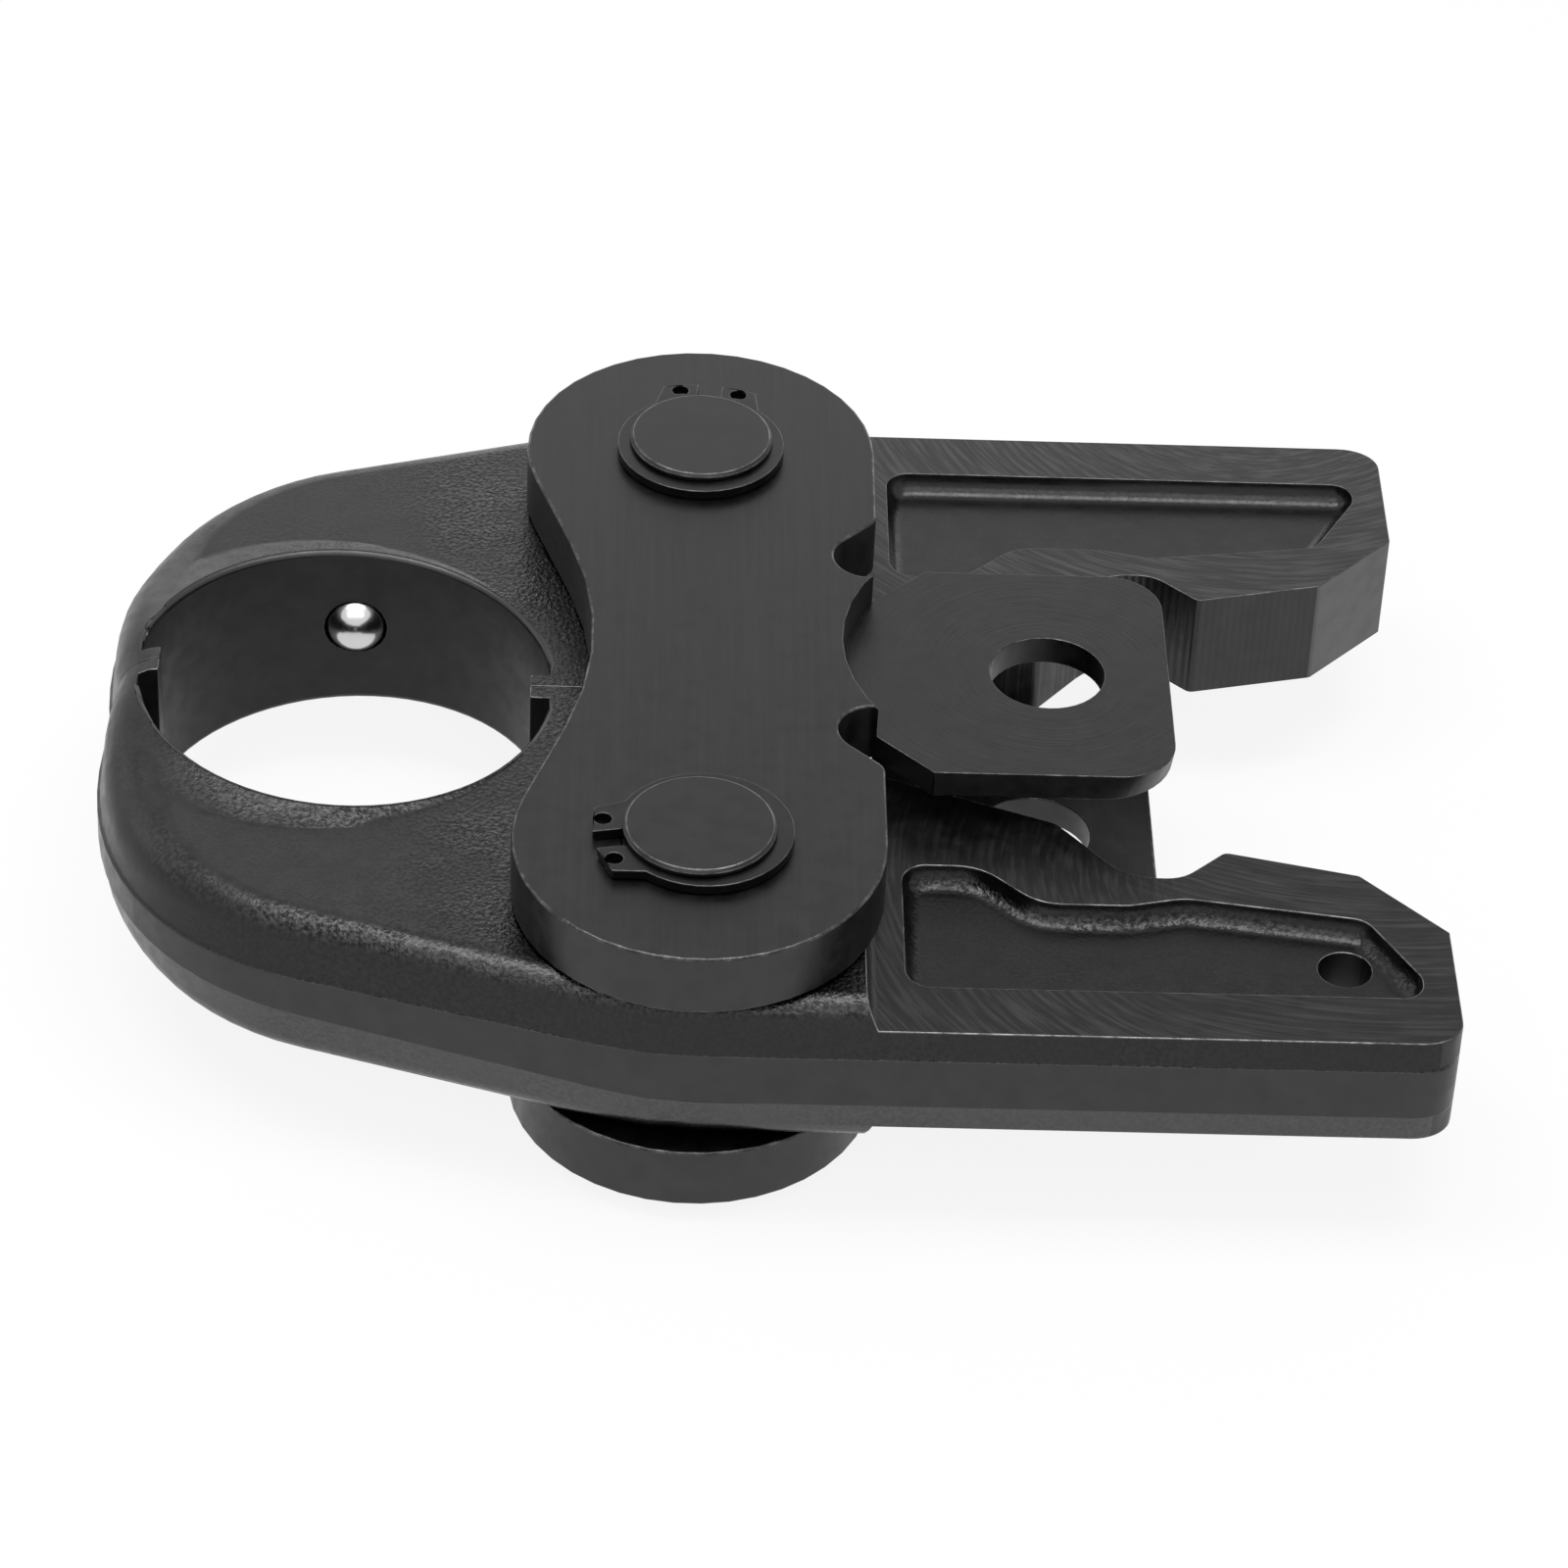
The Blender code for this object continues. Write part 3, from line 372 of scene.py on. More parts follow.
@dataclass(frozen=True)
class Forged(Steel):
    """Blasted forging skin.

    Walls that face a little up get a darker tone, a painted shade, and walls that face a little down get a
    lighter tone, painted light thrown up from the pale floor. Its pitted grain is coarse beside the pivot
    boss and on roundings, and faint at the nose and elsewhere.
    Beside the boss it is glossier. Shares of up are 1 on a level face and 0 on an upright one.
    """

    # painted shade on walls facing a little up, and painted light from the floor on walls facing a little
    # down
    painted_shade_tone: float = 0.036
    painted_floor_light_tone: float = 0.080
    smooth_x: float = -0.048
    coarse_x: float = -0.034
    nose_x: float = -0.076
    collar_x: float = -0.062
    boss_gloss: float = 0.72
    grain_per_metre: float = 1900.0
    grain_depth: float = 0.16
    speckle: float = 0.6
    faint: float = 0.22
    patch_per_metre: float = 90.0
    patch_least: float = 0.45
    level_up: float = 0.99
    round_up: float = 0.95
    slope_up: float = 0.70
    smooth_up: float = 0.35
    steep_up: float = 0.25
    parting_low: float = 0.03
    parting_high: float = 0.05

    def grain(self, graph: Graph) -> tuple[Socket, Socket]:
        """The pitted grain, most beside the boss and on roundings.

        Args:
            graph: The material's nodes.

        Returns:
            The grain from 0 to 1, and how coarse it is.
        """
        flat = graph.math("ABSOLUTE", graph.upward())
        near_boss = graph.span(graph.along_x(), self.smooth_x, self.coarse_x, self.faint, 1.0)
        rounding = graph.span(flat, self.level_up, self.round_up, self.faint, 1.0)
        wall = graph.span(flat, self.slope_up, self.smooth_up, 1.0, self.faint)
        behind_nose = graph.span(graph.along_x(), self.nose_x, self.collar_x, self.faint, 1.0)
        patch = graph.span(graph.noise(self.patch_per_metre), 0.35, 0.65, self.patch_least, 1.0)
        place = graph.math("MULTIPLY", graph.math("MAXIMUM", near_boss, rounding), wall)
        strength = graph.math("MULTIPLY", graph.math("MULTIPLY", place, behind_nose), patch)
        return graph.noise(self.grain_per_metre, roughness=0.55), strength

    def gloss(self, graph: Graph) -> Socket:
        """The uneven roughness, lower beside the boss."""
        share = graph.span(graph.along_x(), self.smooth_x, self.coarse_x, 1.0, self.boss_gloss)
        return graph.math("MULTIPLY", super().gloss(graph), share)

    def wall(self, graph: Graph, way: int) -> Socket:
        """How far a surface is a steep wall, which takes the painted shade or the painted floor light.

        Args:
            graph: The material's nodes.
            way: 1 for walls that face a little up, -1 for those that face a little down.

        Returns:
            The share, from 0 to 1.
        """
        up = graph.math("MULTIPLY", graph.upward(), way)
        steep = graph.span(up, self.slope_up, self.steep_up)
        return graph.math("MULTIPLY", steep, graph.span(up, -self.parting_low, self.parting_high))

    def colour(self, graph: Graph) -> Socket:
        """The mottled tone, with painted shade on walls facing a little up, painted floor light on walls
        facing a little down, and dark pits and rubbed crests.

        Args:
            graph: The material's nodes.

        Returns:
            The colour.
        """
        # painted shade on up-facing steep walls, then painted floor light on down-facing ones
        plain = graph.blend(self.wall(graph, 1), super().colour(graph), grey(self.painted_shade_tone))
        skin = graph.blend(self.wall(graph, -1), plain, grey(self.painted_floor_light_tone))
        grain, strength = self.grain(graph)
        height = graph.span(grain, 0.30, 0.70, -self.speckle, self.speckle)
        factor = graph.math("ADD", graph.math("MULTIPLY", height, strength), 1.0)
        return graph.node("VectorMath", {0: skin, "Scale": factor}, operation="SCALE").outputs["Vector"]

    def relief(self, graph: Graph) -> Socket:
        """Grain whose height grows with its strength."""
        return graph.bump(graph.math("MULTIPLY", *self.grain(graph)), self.grain_depth)


@dataclass(frozen=True)
class FaceMilled(Steel):
    """Milled face with the arcs of a large cutter, about one centre at the heel and one at the tip."""

    heel_centre: Triple = (0, 0, 0)
    tip_centre: Triple = (0, 0, 0)
    change_x: float = 0.05
    change_run: float = 0.008
    pitch: float = 0.62
    per_radian: float = 5.0
    depth: float = 0.03

    def arcs(self, graph: Graph) -> Socket:
        """The heel's arcs, which give way to the tip's arcs along x.

        Args:
            graph: The material's nodes.

        Returns:
            The arcs, about 0.5 in the mean.
        """
        first, last = self.change_x - self.change_run, self.change_x + self.change_run
        share = graph.span(graph.along_x(), first, last)
        heel = graph.streaks(self.heel_centre, self.pitch, self.per_radian)
        tip = graph.streaks(self.tip_centre, self.pitch, self.per_radian)
        return graph.node("Mix", {0: share, 2: heel, 3: tip}, data_type="FLOAT").outputs[0]

    def cloud(self, graph: Graph) -> Socket:
        """The arcs show in the tone too."""
        return graph.span(self.arcs(graph), 0.40, 0.72)

    def relief(self, graph: Graph) -> Socket:
        """The arcs over the fine grain."""
        return graph.bump(self.arcs(graph), self.depth, self.fine_grain(graph))


@dataclass(frozen=True)
class Ribbed(Steel):
    """Ramp face with the upright ribs that a form cutter leaves along x."""

    pitch: float = 0.92
    depth: float = 0.045
    sway: float = 0.6
    sway_scale: float = 0.5
    fine_depth: float = 0.012

    def relief(self, graph: Graph) -> Socket:
        """Upright bands along x, one for each pitch, over the fine grain.

        Args:
            graph: The material's nodes.

        Returns:
            The bent normal.
        """
        inputs = {
            "Vector": graph.place(),
            "Scale": 2 * math.pi / (WAVE_PHASE * self.pitch * MM),
            "Distortion": self.sway,
            "Detail Scale": self.sway_scale,
        }
        bands = graph.node("TexWave", inputs, wave_type="BANDS", bands_direction="X").outputs["Fac"]
        return graph.bump(bands, self.depth, self.fine_grain(graph))


@dataclass(frozen=True)
class Bored(Steel):
    """Bored or cut wall with faint lines round it."""

    line_per_metre: float = 3600.0
    line_length_per_metre: float = 60.0
    line_depth: float = 0.010

    def relief(self, graph: Graph) -> Socket:
        """Lines at a constant height, as noise drawn out along x and y."""
        along = self.line_length_per_metre
        return graph.bump(graph.noise((along, along, self.line_per_metre)), self.line_depth)


def new_piece(name: str, mesh: bpy.types.Mesh, materials: list[bpy.types.Material]) -> bpy.types.Object:
    """Put a mesh that is already in world metres into the scene.

    Args:
        name: The piece's name.
        mesh: Its mesh.
        materials: Its finishes, in the order of the faces' material numbers.

    Returns:
        The new object, at the origin.
    """
    piece = bpy.data.objects.new(name, mesh)
    bpy.context.scene.collection.objects.link(piece)
    for material in materials:
        mesh.materials.append(material)
    LOG.info("%s: %d faces", name, len(mesh.polygons))
    return piece


def soften(mesh: bpy.types.Mesh, degrees: float = SHARP_ANGLE) -> None:
    """Shade smooth, apart from edges sharper than this angle."""
    mesh.shade_smooth()
    mesh.set_sharp_from_angle(angle=math.radians(degrees))


def weigh_normals(piece: bpy.types.Object) -> None:
    """Keep large flat faces flat where they run into roundings.

    Args:
        piece: The object whose normals are weighed by the size of its faces.
    """
    change = piece.modifiers.new("weighted_normals", "WEIGHTED_NORMAL")
    change.keep_sharp = True
    change.weight = FLATNESS_WEIGHT


def round_edges(
    mesh: bpy.types.Mesh, width: float, degrees: float, finish: int, chosen: np.ndarray | None = None
) -> None:
    """Round outer edges with a narrow strip of faces.

    Args:
        mesh: The mesh to change.
        width: How far the strip reaches onto each face, in millimetres.
        degrees: Edges sharper than this angle are rounded.
        finish: The material number of the strip.
        chosen: Where given, tells for each vertex whether edges between two such vertices are rounded.
    """
    work = bmesh.new()
    work.from_mesh(mesh)
    limit = math.radians(degrees)
    outer = [edge for edge in work.edges if edge.is_convex and edge.calc_face_angle(0.0) > limit]
    if chosen is not None:
        outer = [edge for edge in outer if all(chosen[vertex.index] for vertex in edge.verts)]
    bmesh.ops.bevel(
        work,
        geom=outer,
        offset=width * MM,
        offset_type="OFFSET",
        segments=EDGE_STEPS,
        profile=0.5,
        affect="EDGES",
        clamp_overlap=False,
        material=finish,
    )
    work.to_mesh(mesh)
    work.free()


def lattice(name: str, points: np.ndarray, wrap: bool = False, closed: bool = True) -> bpy.types.Mesh:
    """A mesh of four-sided faces between the points of a grid.

    Args:
        name: The mesh's name.
        points: World points, as an array of rows u and columns v.
        wrap: Whether the last column joins the first.
        closed: Whether open rims are filled.

    Returns:
        The mesh, with coincident points such as poles merged and its faces pointing out.
    """
    rows, columns = points.shape[:2]
    index = np.arange(rows * columns).reshape(rows, columns)
    if wrap:
        index = np.hstack((index, index[:, :1]))
    corners = (index[:-1, :-1], index[1:, :-1], index[1:, 1:], index[:-1, 1:])
    faces = np.stack(corners, axis=-1).reshape(-1, 4)
    mesh = bpy.data.meshes.new(name)
    mesh.from_pydata(points.reshape(-1, 3), [], faces.tolist())
    if closed:
        tidy_mesh(mesh)
    return mesh


def tidy_mesh(mesh: bpy.types.Mesh, flat_angle: float | None = None) -> None:
    """Merge coincident points, close open rims and point faces outwards.

    Args:
        mesh: The mesh to change.
        flat_angle: Where given, faces that meet at less than this angle in degrees become one.
    """
    work = bmesh.new()
    work.from_mesh(mesh)
    bmesh.ops.remove_doubles(work, verts=work.verts, dist=MERGE_REACH)
    bmesh.ops.dissolve_degenerate(work, edges=work.edges, dist=SLIVER_REACH)
    if flat_angle:
        limit = math.radians(flat_angle)
        bmesh.ops.dissolve_limit(work, angle_limit=limit, verts=work.verts, edges=work.edges)
    rim = [edge for edge in work.edges if edge.is_boundary]
    if rim:
        bmesh.ops.holes_fill(work, edges=rim, sides=0)
    bmesh.ops.recalc_face_normals(work, faces=work.faces)
    work.to_mesh(mesh)
    work.free()


def merged_copy(node: str, name: str) -> bpy.types.Mesh:
    """Copy the solid of a node.

    Args:
        node: The node's name.
        name: The new mesh's name.

    Returns:
        One connected mesh, with its flat faces whole and no finish yet.
    """
    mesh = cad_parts[node].data.copy()
    mesh.name = name
    mesh.materials.clear()
    tidy_mesh(mesh, FLAT_ANGLE)
    return mesh


def face_data(mesh: bpy.types.Mesh) -> tuple[np.ndarray, np.ndarray]:
    """Read a mesh's faces.

    Args:
        mesh: The mesh.

    Returns:
        The faces' middles in world metres, and their directions, as arrays of rows.
    """
    count = len(mesh.polygons)
    middles, ways = np.empty(3 * count), np.empty(3 * count)
    mesh.polygons.foreach_get("center", middles)
    mesh.polygons.foreach_get("normal", ways)
    return middles.reshape(-1, 3), ways.reshape(-1, 3)


def corner_data(mesh: bpy.types.Mesh) -> np.ndarray:
    """Read a mesh's vertices.

    Args:
        mesh: The mesh.

    Returns:
        The vertices in world metres, as an array of rows.
    """
    points = np.empty(3 * len(mesh.vertices))
    mesh.vertices.foreach_get("co", points)
    return points.reshape(-1, 3)


def revolve(profile: np.ndarray, centre: np.ndarray, steps: int) -> np.ndarray:
    """Points of a surface of revolution about an upright axis.

    Each point is the centre plus the profile's radius in the direction of its angle plus its height.

    Args:
        profile: Rows of radius and height in millimetres.
        centre: Where the axis stands, in millimetres.
        steps: How many points go round.

    Returns:
        An array of profile rows and angle columns, in millimetres.
    """
    angle = np.linspace(0, 2 * math.pi, steps, endpoint=False)
    radius, height = profile[:, :1], profile[:, 1:]
    level = np.broadcast_to(height, (len(profile), steps))
    return np.stack((radius * np.cos(angle), radius * np.sin(angle), level), axis=-1) + centre


def tube(path: np.ndarray, aside: np.ndarray, diameter: float, steps: int) -> np.ndarray:
    """Points of a round wire along a path.

    Each ring stands square to the path, and starts on the side that aside points to.

    Args:
        path: Points along the wire's middle, in millimetres.
        aside: For each point, a direction that is never along the wire.
        diameter: The wire's diameter.
        steps: How many points go round.

    Returns:
        An array of path rows and angle columns, in millimetres.
    """
    along = np.gradient(path, axis=0)
    along /= np.linalg.norm(along, axis=1)[:, None]
    first = aside - np.sum(aside * along, axis=1)[:, None] * along
    first /= np.linalg.norm(first, axis=1)[:, None]
    second = np.cross(along, first)
    angle = np.linspace(0, 2 * math.pi, steps, endpoint=False)[None, :, None]
    ring = np.cos(angle) * first[:, None] + np.sin(angle) * second[:, None]
    return path[:, None] + diameter / 2 * ring


class PlateZone(Enum):
    """Kinds of surface on a plate, with the number of their finish."""

    FACE = 0
    RIM = 1
    SPOT = 2
    EDGE = 3


@dataclass
class Plates:
    """The two side plates, ground flat, with a spot face round the bolt hole of their tabs."""

    datum: Datum
    outer_z: float = 18.7
    spot_depth: float = 4.3
    tab_hole_x: float = 42.4
    edge: float = 0.13
    edge_angle: float = 34.0
    level_up: float = 0.9
    spot_margin: float = 0.5

    def finishes(self) -> list[bpy.types.Material]:
        """The finishes, in the order of PlateZone."""
        hole = (self.datum.x + self.tab_hole_x * MM, 0.0, 0.0)
        return [
            Brushed("brushed_plate", 0.033, 0.36).make(),
            Bored("cut_plate_rim", 0.056, 0.40).make(),
            Turned("spot_face", 0.032, 0.36, centre=hole, depth=0.025).make(),
            Worn("rubbed_plate_edge", 0.036, 0.30, bright=0.12, least=0.38).make(),
        ]

    def zones(self, mesh: bpy.types.Mesh) -> np.ndarray:
        """Sort faces: level ones are ground, or spot-faced where they lie deeper.

        Args:
            mesh: The plate's mesh in world metres.

        Returns:
            A PlateZone number for each face.
        """
        middles, ways = face_data(mesh)
        height = np.abs(self.datum.local(middles)[:, 2])
        level = np.abs(ways[:, 2]) > self.level_up
        spot = level & (np.abs(height - self.outer_z + self.spot_depth) < self.spot_margin)
        zone = np.where(level, PlateZone.FACE.value, PlateZone.RIM.value)
        zone[spot] = PlateZone.SPOT.value
        return zone

    def build(self) -> None:
        """Dress both plates."""
        materials = self.finishes()
        for where in ("upper", "lower"):
            node = f"{where}_plate"
            mesh = merged_copy(node, f"{node}_skin")
            mesh.polygons.foreach_set("material_index", self.zones(mesh))
            round_edges(mesh, self.edge, self.edge_angle, PlateZone.EDGE.value)
            soften(mesh)
            piece = new_piece(f"{node}_skin", mesh, materials)
            weigh_normals(piece)
            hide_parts(node)
            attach(piece, "frame")


@dataclass
class Pins:
    """The two pivot pins, turned with a groove for a circlip near each end."""

    datum: Datum
    radius: float = 9.0
    half_length: float = 21.1
    chamfer: float = 0.4
    groove_depth: float = 0.5
    groove_low: float = 18.7
    groove_high: float = 20.2
    edge: float = 0.12
    edge_angle: float = 34.0
    sharp_angle: float = 32.0
    steps: int = 128
    finish: Steel = Steel("black_pin", 0.033, 0.37)
    edge_finish: Steel = Worn("rubbed_pin_edge", 0.040, 0.30)

    def profile(self) -> np.ndarray:
        """The upper half's corners from the middle up, after the same mirrored.

        Returns:
            Rows of radius and height, from the bottom end to the top end, both on the axis.
        """
        inside = self.radius - self.groove_depth
        half = np.array(
            [
                (self.radius, self.groove_low),
                (inside, self.groove_low),
                (inside, self.groove_high),
                (self.radius, self.groove_high),
                (self.radius, self.half_length - self.chamfer),
                (self.radius - self.chamfer, self.half_length),
                (0.0, self.half_length),
            ]
        )
        return np.vstack((half[::-1] * (1, -1), half))

    def build(self) -> None:
        """Turn both pins."""
        materials = [self.finish.make(), self.edge_finish.make()]
        for side in Side:
            node = f"{side.word}_pin"
            centre = np.array((0.0, side.value * self.datum.pin_y / MM, 0.0))
            points = self.datum.world(revolve(self.profile(), centre, self.steps))
            mesh = lattice(f"{node}_turned", points, wrap=True)
            round_edges(mesh, self.edge, self.edge_angle, EDGE_FINISH)
            soften(mesh, self.sharp_angle)
            piece = new_piece(f"{node}_turned", mesh, materials)
            weigh_normals(piece)
            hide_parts(node)
            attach(piece, "frame")


@dataclass
class Circlips:
    """The four circlips in the pins' grooves."""

    edge: float = 0.12
    edge_angle: float = 50.0
    finish: Steel = Steel("phosphated_clip", 0.030, 0.34)
    edge_finish: Steel = Worn("rubbed_clip_edge", 0.040, 0.28, bright=0.10)

    def build(self) -> None:
        """Dress the circlips, with their edges rounded."""
        materials = [self.finish.make(), self.edge_finish.make()]
        for side in Side:
            for level in ("upper", "lower"):
                node = f"{side.word}_{level}_circlip"
                mesh = merged_copy(node, f"{node}_stamped")
                round_edges(mesh, self.edge, self.edge_angle, EDGE_FINISH)
                soften(mesh)
                piece = new_piece(f"{node}_stamped", mesh, materials)
                weigh_normals(piece)
                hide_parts(node)
                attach(piece, "frame")


class JawZone(Enum):
    """Kinds of surface on a jaw half, with the number of their finish."""

    FORGED = 0
    MILLED = 1
    RAMP = 2
    BORE = 3
    POCKET = 4
    BAND = 5
    EDGE = 6
    CHAMFER = 7
    RIM = 8


@dataclass(frozen=True)
class ArmLook:
    """What differs between the two arms: where the cutter stood in x and y, tones and grain, and how bright
    the edges are, which is wear and, on the near arm, a painted highlight too.
    """

    heel_cutter: tuple[float, float]
    tip_cutter: tuple[float, float]
    milled: float
    pocket: float
    speckle: float
    rubbed: float


@dataclass
class Jaws:
    """The two forged jaw halves with their milled arms, ramps and half bores."""

    datum: Datum
    bore_x: float = -43.0
    bore_radius: float = 25.0
    arm_z: float = 7.3
    band_z: float = 3.6
    step_x: float = 20.9
    step_run: float = 4.2
    relief_x: float = 50.0
    outer_y: float = 60.3
    change_x: float = 54.7
    heel_x: float = -10.0
    edge: float = 0.14
    rim: float = 0.8
    edge_angle: float = 36.0
    lip_reach: float = 2.5
    rib_reach: float = 3.0
    parting_reach: float = 0.4
    parting_gap: float = 0.08
    upright_up: float = 0.1
    level_up: float = 0.99
    step_facing: float = 0.5
    chamfer_facing: float = 0.3
    arm_margin: float = 0.02
    milled_margin: float = 0.05
    wall_margin: float = 5.0
    bore_margin: float = 0.3
    rim_margin: float = 0.2
    band_margin: float = 0.6
    pocket_grain: float = 0.25
    # the near arm's brighter edges are partly wear and partly a painted highlight on its front edges
    near_look: ArmLook = ArmLook((70.0, -30.0), (81.0, 19.0), 0.034, 0.028, 0.6, 0.20)
    far_look: ArmLook = ArmLook((72.0, 76.0), (72.0, 76.0), 0.046, 0.033, 0.15, 0.11)

    def cutter(self, spot: tuple[float, float]) -> Triple:
        """Where a cutter stood, in world metres."""
        return (self.datum.x + spot[0] * MM, spot[1] * MM, 0.0)

    def finishes(self, side: Side) -> list[bpy.types.Material]:
        """Make the finishes of one half.

        Args:
            side: Which half it is.

        Returns:
            The materials, in the order of JawZone.
        """
        word = side.word
        look = self.near_look if side is Side.NEAR else self.far_look
        heel, tip = self.cutter(look.heel_cutter), self.cutter(look.tip_cutter)
        arcs = {"heel_centre": heel, "tip_centre": tip, "change_x": self.datum.x + self.change_x * MM}
        grain = {"grain_depth": self.pocket_grain * look.speckle, "speckle": look.speckle}
        no_boss = {"smooth_x": 0.9, "coarse_x": 1.0}        # metres along x, past the arm's end
        return [
            # both forged finishes carry the painted shade on up-facing walls and the painted floor light on
            # down-facing walls
            Forged(f"{word}_forged_skin", 0.036, 0.36).make(),
            FaceMilled(f"{word}_milled", look.milled, 0.36, tone_spread=0.30, **arcs).make(),
            Ribbed(f"{word}_ramp", 0.054, 0.40).make(),
            Bored(f"{word}_bore", 0.034, 0.42).make(),
            Forged(f"{word}_pocket_skin", look.pocket, 0.27, **grain, **no_boss).make(),
            Steel(f"{word}_flash_band", 0.056, 0.42).make(),
            # rubbed edges: wear, and on the near half a painted highlight as well
            Worn(f"{word}_rubbed_edge", 0.048, 0.30, bright=look.rubbed).make(),
            Steel(f"{word}_end_chamfer", 0.104, 0.40).make(),
            Steel(f"{word}_bore_lip", 0.050, 0.36).make(),
        ]

    def zones(self, mesh: bpy.types.Mesh, side: Side) -> np.ndarray:
        """Sort faces by the machining that made them, from their middles and directions.

        Args:
            mesh: The half's mesh in world metres.
            side: Which half it is.

        Returns:
            A JawZone number for each face.
        """
        middles, ways = face_data(mesh)
        x, y, z = (self.datum.local(middles) * (1, side.value, 1)).T
        way_x, way_y, way_z = (ways * (1, side.value, 1)).T
        height = np.abs(z)
        upright = np.abs(way_z) < self.upright_up
        level = np.abs(way_z) > self.level_up
        zone = np.full(len(x), JawZone.FORGED.value)
        arm = x > self.step_x - self.step_run
        inside = height < self.arm_z + self.arm_margin
        zone[arm & inside & ~upright & (height > self.band_z)] = JawZone.POCKET.value
        zone[arm & level & (np.abs(height - self.arm_z) < self.milled_margin)] = JawZone.MILLED.value
        zone[arm & ~inside & (way_x > self.step_facing)] = JawZone.MILLED.value
        inward = upright & (way_y < self.step_facing) & (y < self.outer_y - self.wall_margin)
        zone[upright & ~inward] = JawZone.BAND.value
        zone[inward & (x > self.heel_x)] = JawZone.MILLED.value
        ramp = inward & (x > self.relief_x)
        zone[ramp] = JawZone.RAMP.value
        zone[ramp & (way_x > self.chamfer_facing)] = JawZone.CHAMFER.value
        from_bore = np.hypot(x - self.bore_x, y)
        zone[upright & (from_bore < self.bore_radius + self.bore_margin)] = JawZone.BORE.value
        return zone

    def bore_rims(self, mesh: bpy.types.Mesh) -> np.ndarray:
        """Find the upper and lower rims of the bore.

        Args:
            mesh: The half's mesh in world metres.

        Returns:
            Whether each vertex lies on a rim.
        """
        x, y, z = self.datum.local(corner_data(mesh)).T
        from_wall = np.abs(np.hypot(x - self.bore_x, y) - self.bore_radius)
        return (from_wall < self.rim_margin) & (np.abs(z) > self.arm_z)

    def off_lip(self, mesh: bpy.types.Mesh) -> np.ndarray:
        """Leave out the bore's lip, which is rounded already, apart from the stop ribs.

        Args:
            mesh: The half's mesh in world metres.

        Returns:
            Whether each vertex lies off the lip.
        """
        x, y, z = self.datum.local(corner_data(mesh)).T
        from_wall = np.abs(np.hypot(x - self.bore_x, y) - self.bore_radius)
        return (np.abs(z) <= self.arm_z) | (np.abs(y) <= self.rib_reach) | (from_wall >= self.lip_reach)

    def close_parting(self, mesh: bpy.types.Mesh, side: Side) -> None:
        """Bring the parting face up to the other half's, but for a hair, as the shut halves meet.

        Args:
            mesh: The half's mesh in world metres.
            side: Which half it is.
        """
        rows = corner_data(mesh)
        rows[np.abs(rows[:, 1]) < self.parting_reach * MM, 1] = side.value * self.parting_gap / 2 * MM
        mesh.vertices.foreach_set("co", rows.ravel())

    def quiet_flash(self, mesh: bpy.types.Mesh) -> None:
        """Give roundings at the height of the flash band the band's own finish.

        Args:
            mesh: The half's mesh in world metres.
        """
        finish = np.empty(len(mesh.polygons), dtype=np.int32)
        mesh.polygons.foreach_get("material_index", finish)
        height = np.abs(self.datum.local(face_data(mesh)[0])[:, 2])
        beside = height < self.band_z + self.band_margin
        finish[beside & (finish == JawZone.EDGE.value)] = JawZone.BAND.value
        mesh.polygons.foreach_set("material_index", finish)

    def build(self) -> None:
        """Dress both halves."""
        for side in Side:
            node = f"{side.word}_jaw"
            mesh = merged_copy(node, f"{node}_dressed")
            self.close_parting(mesh, side)
            mesh.polygons.foreach_set("material_index", self.zones(mesh, side))
            round_edges(mesh, self.rim, self.edge_angle, JawZone.RIM.value, self.bore_rims(mesh))
            round_edges(mesh, self.edge, self.edge_angle, JawZone.EDGE.value, self.off_lip(mesh))
            self.quiet_flash(mesh)
            soften(mesh)
            piece = new_piece(f"{node}_dressed", mesh, self.finishes(side))
            weigh_normals(piece)
            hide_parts(node)
            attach(piece, node)


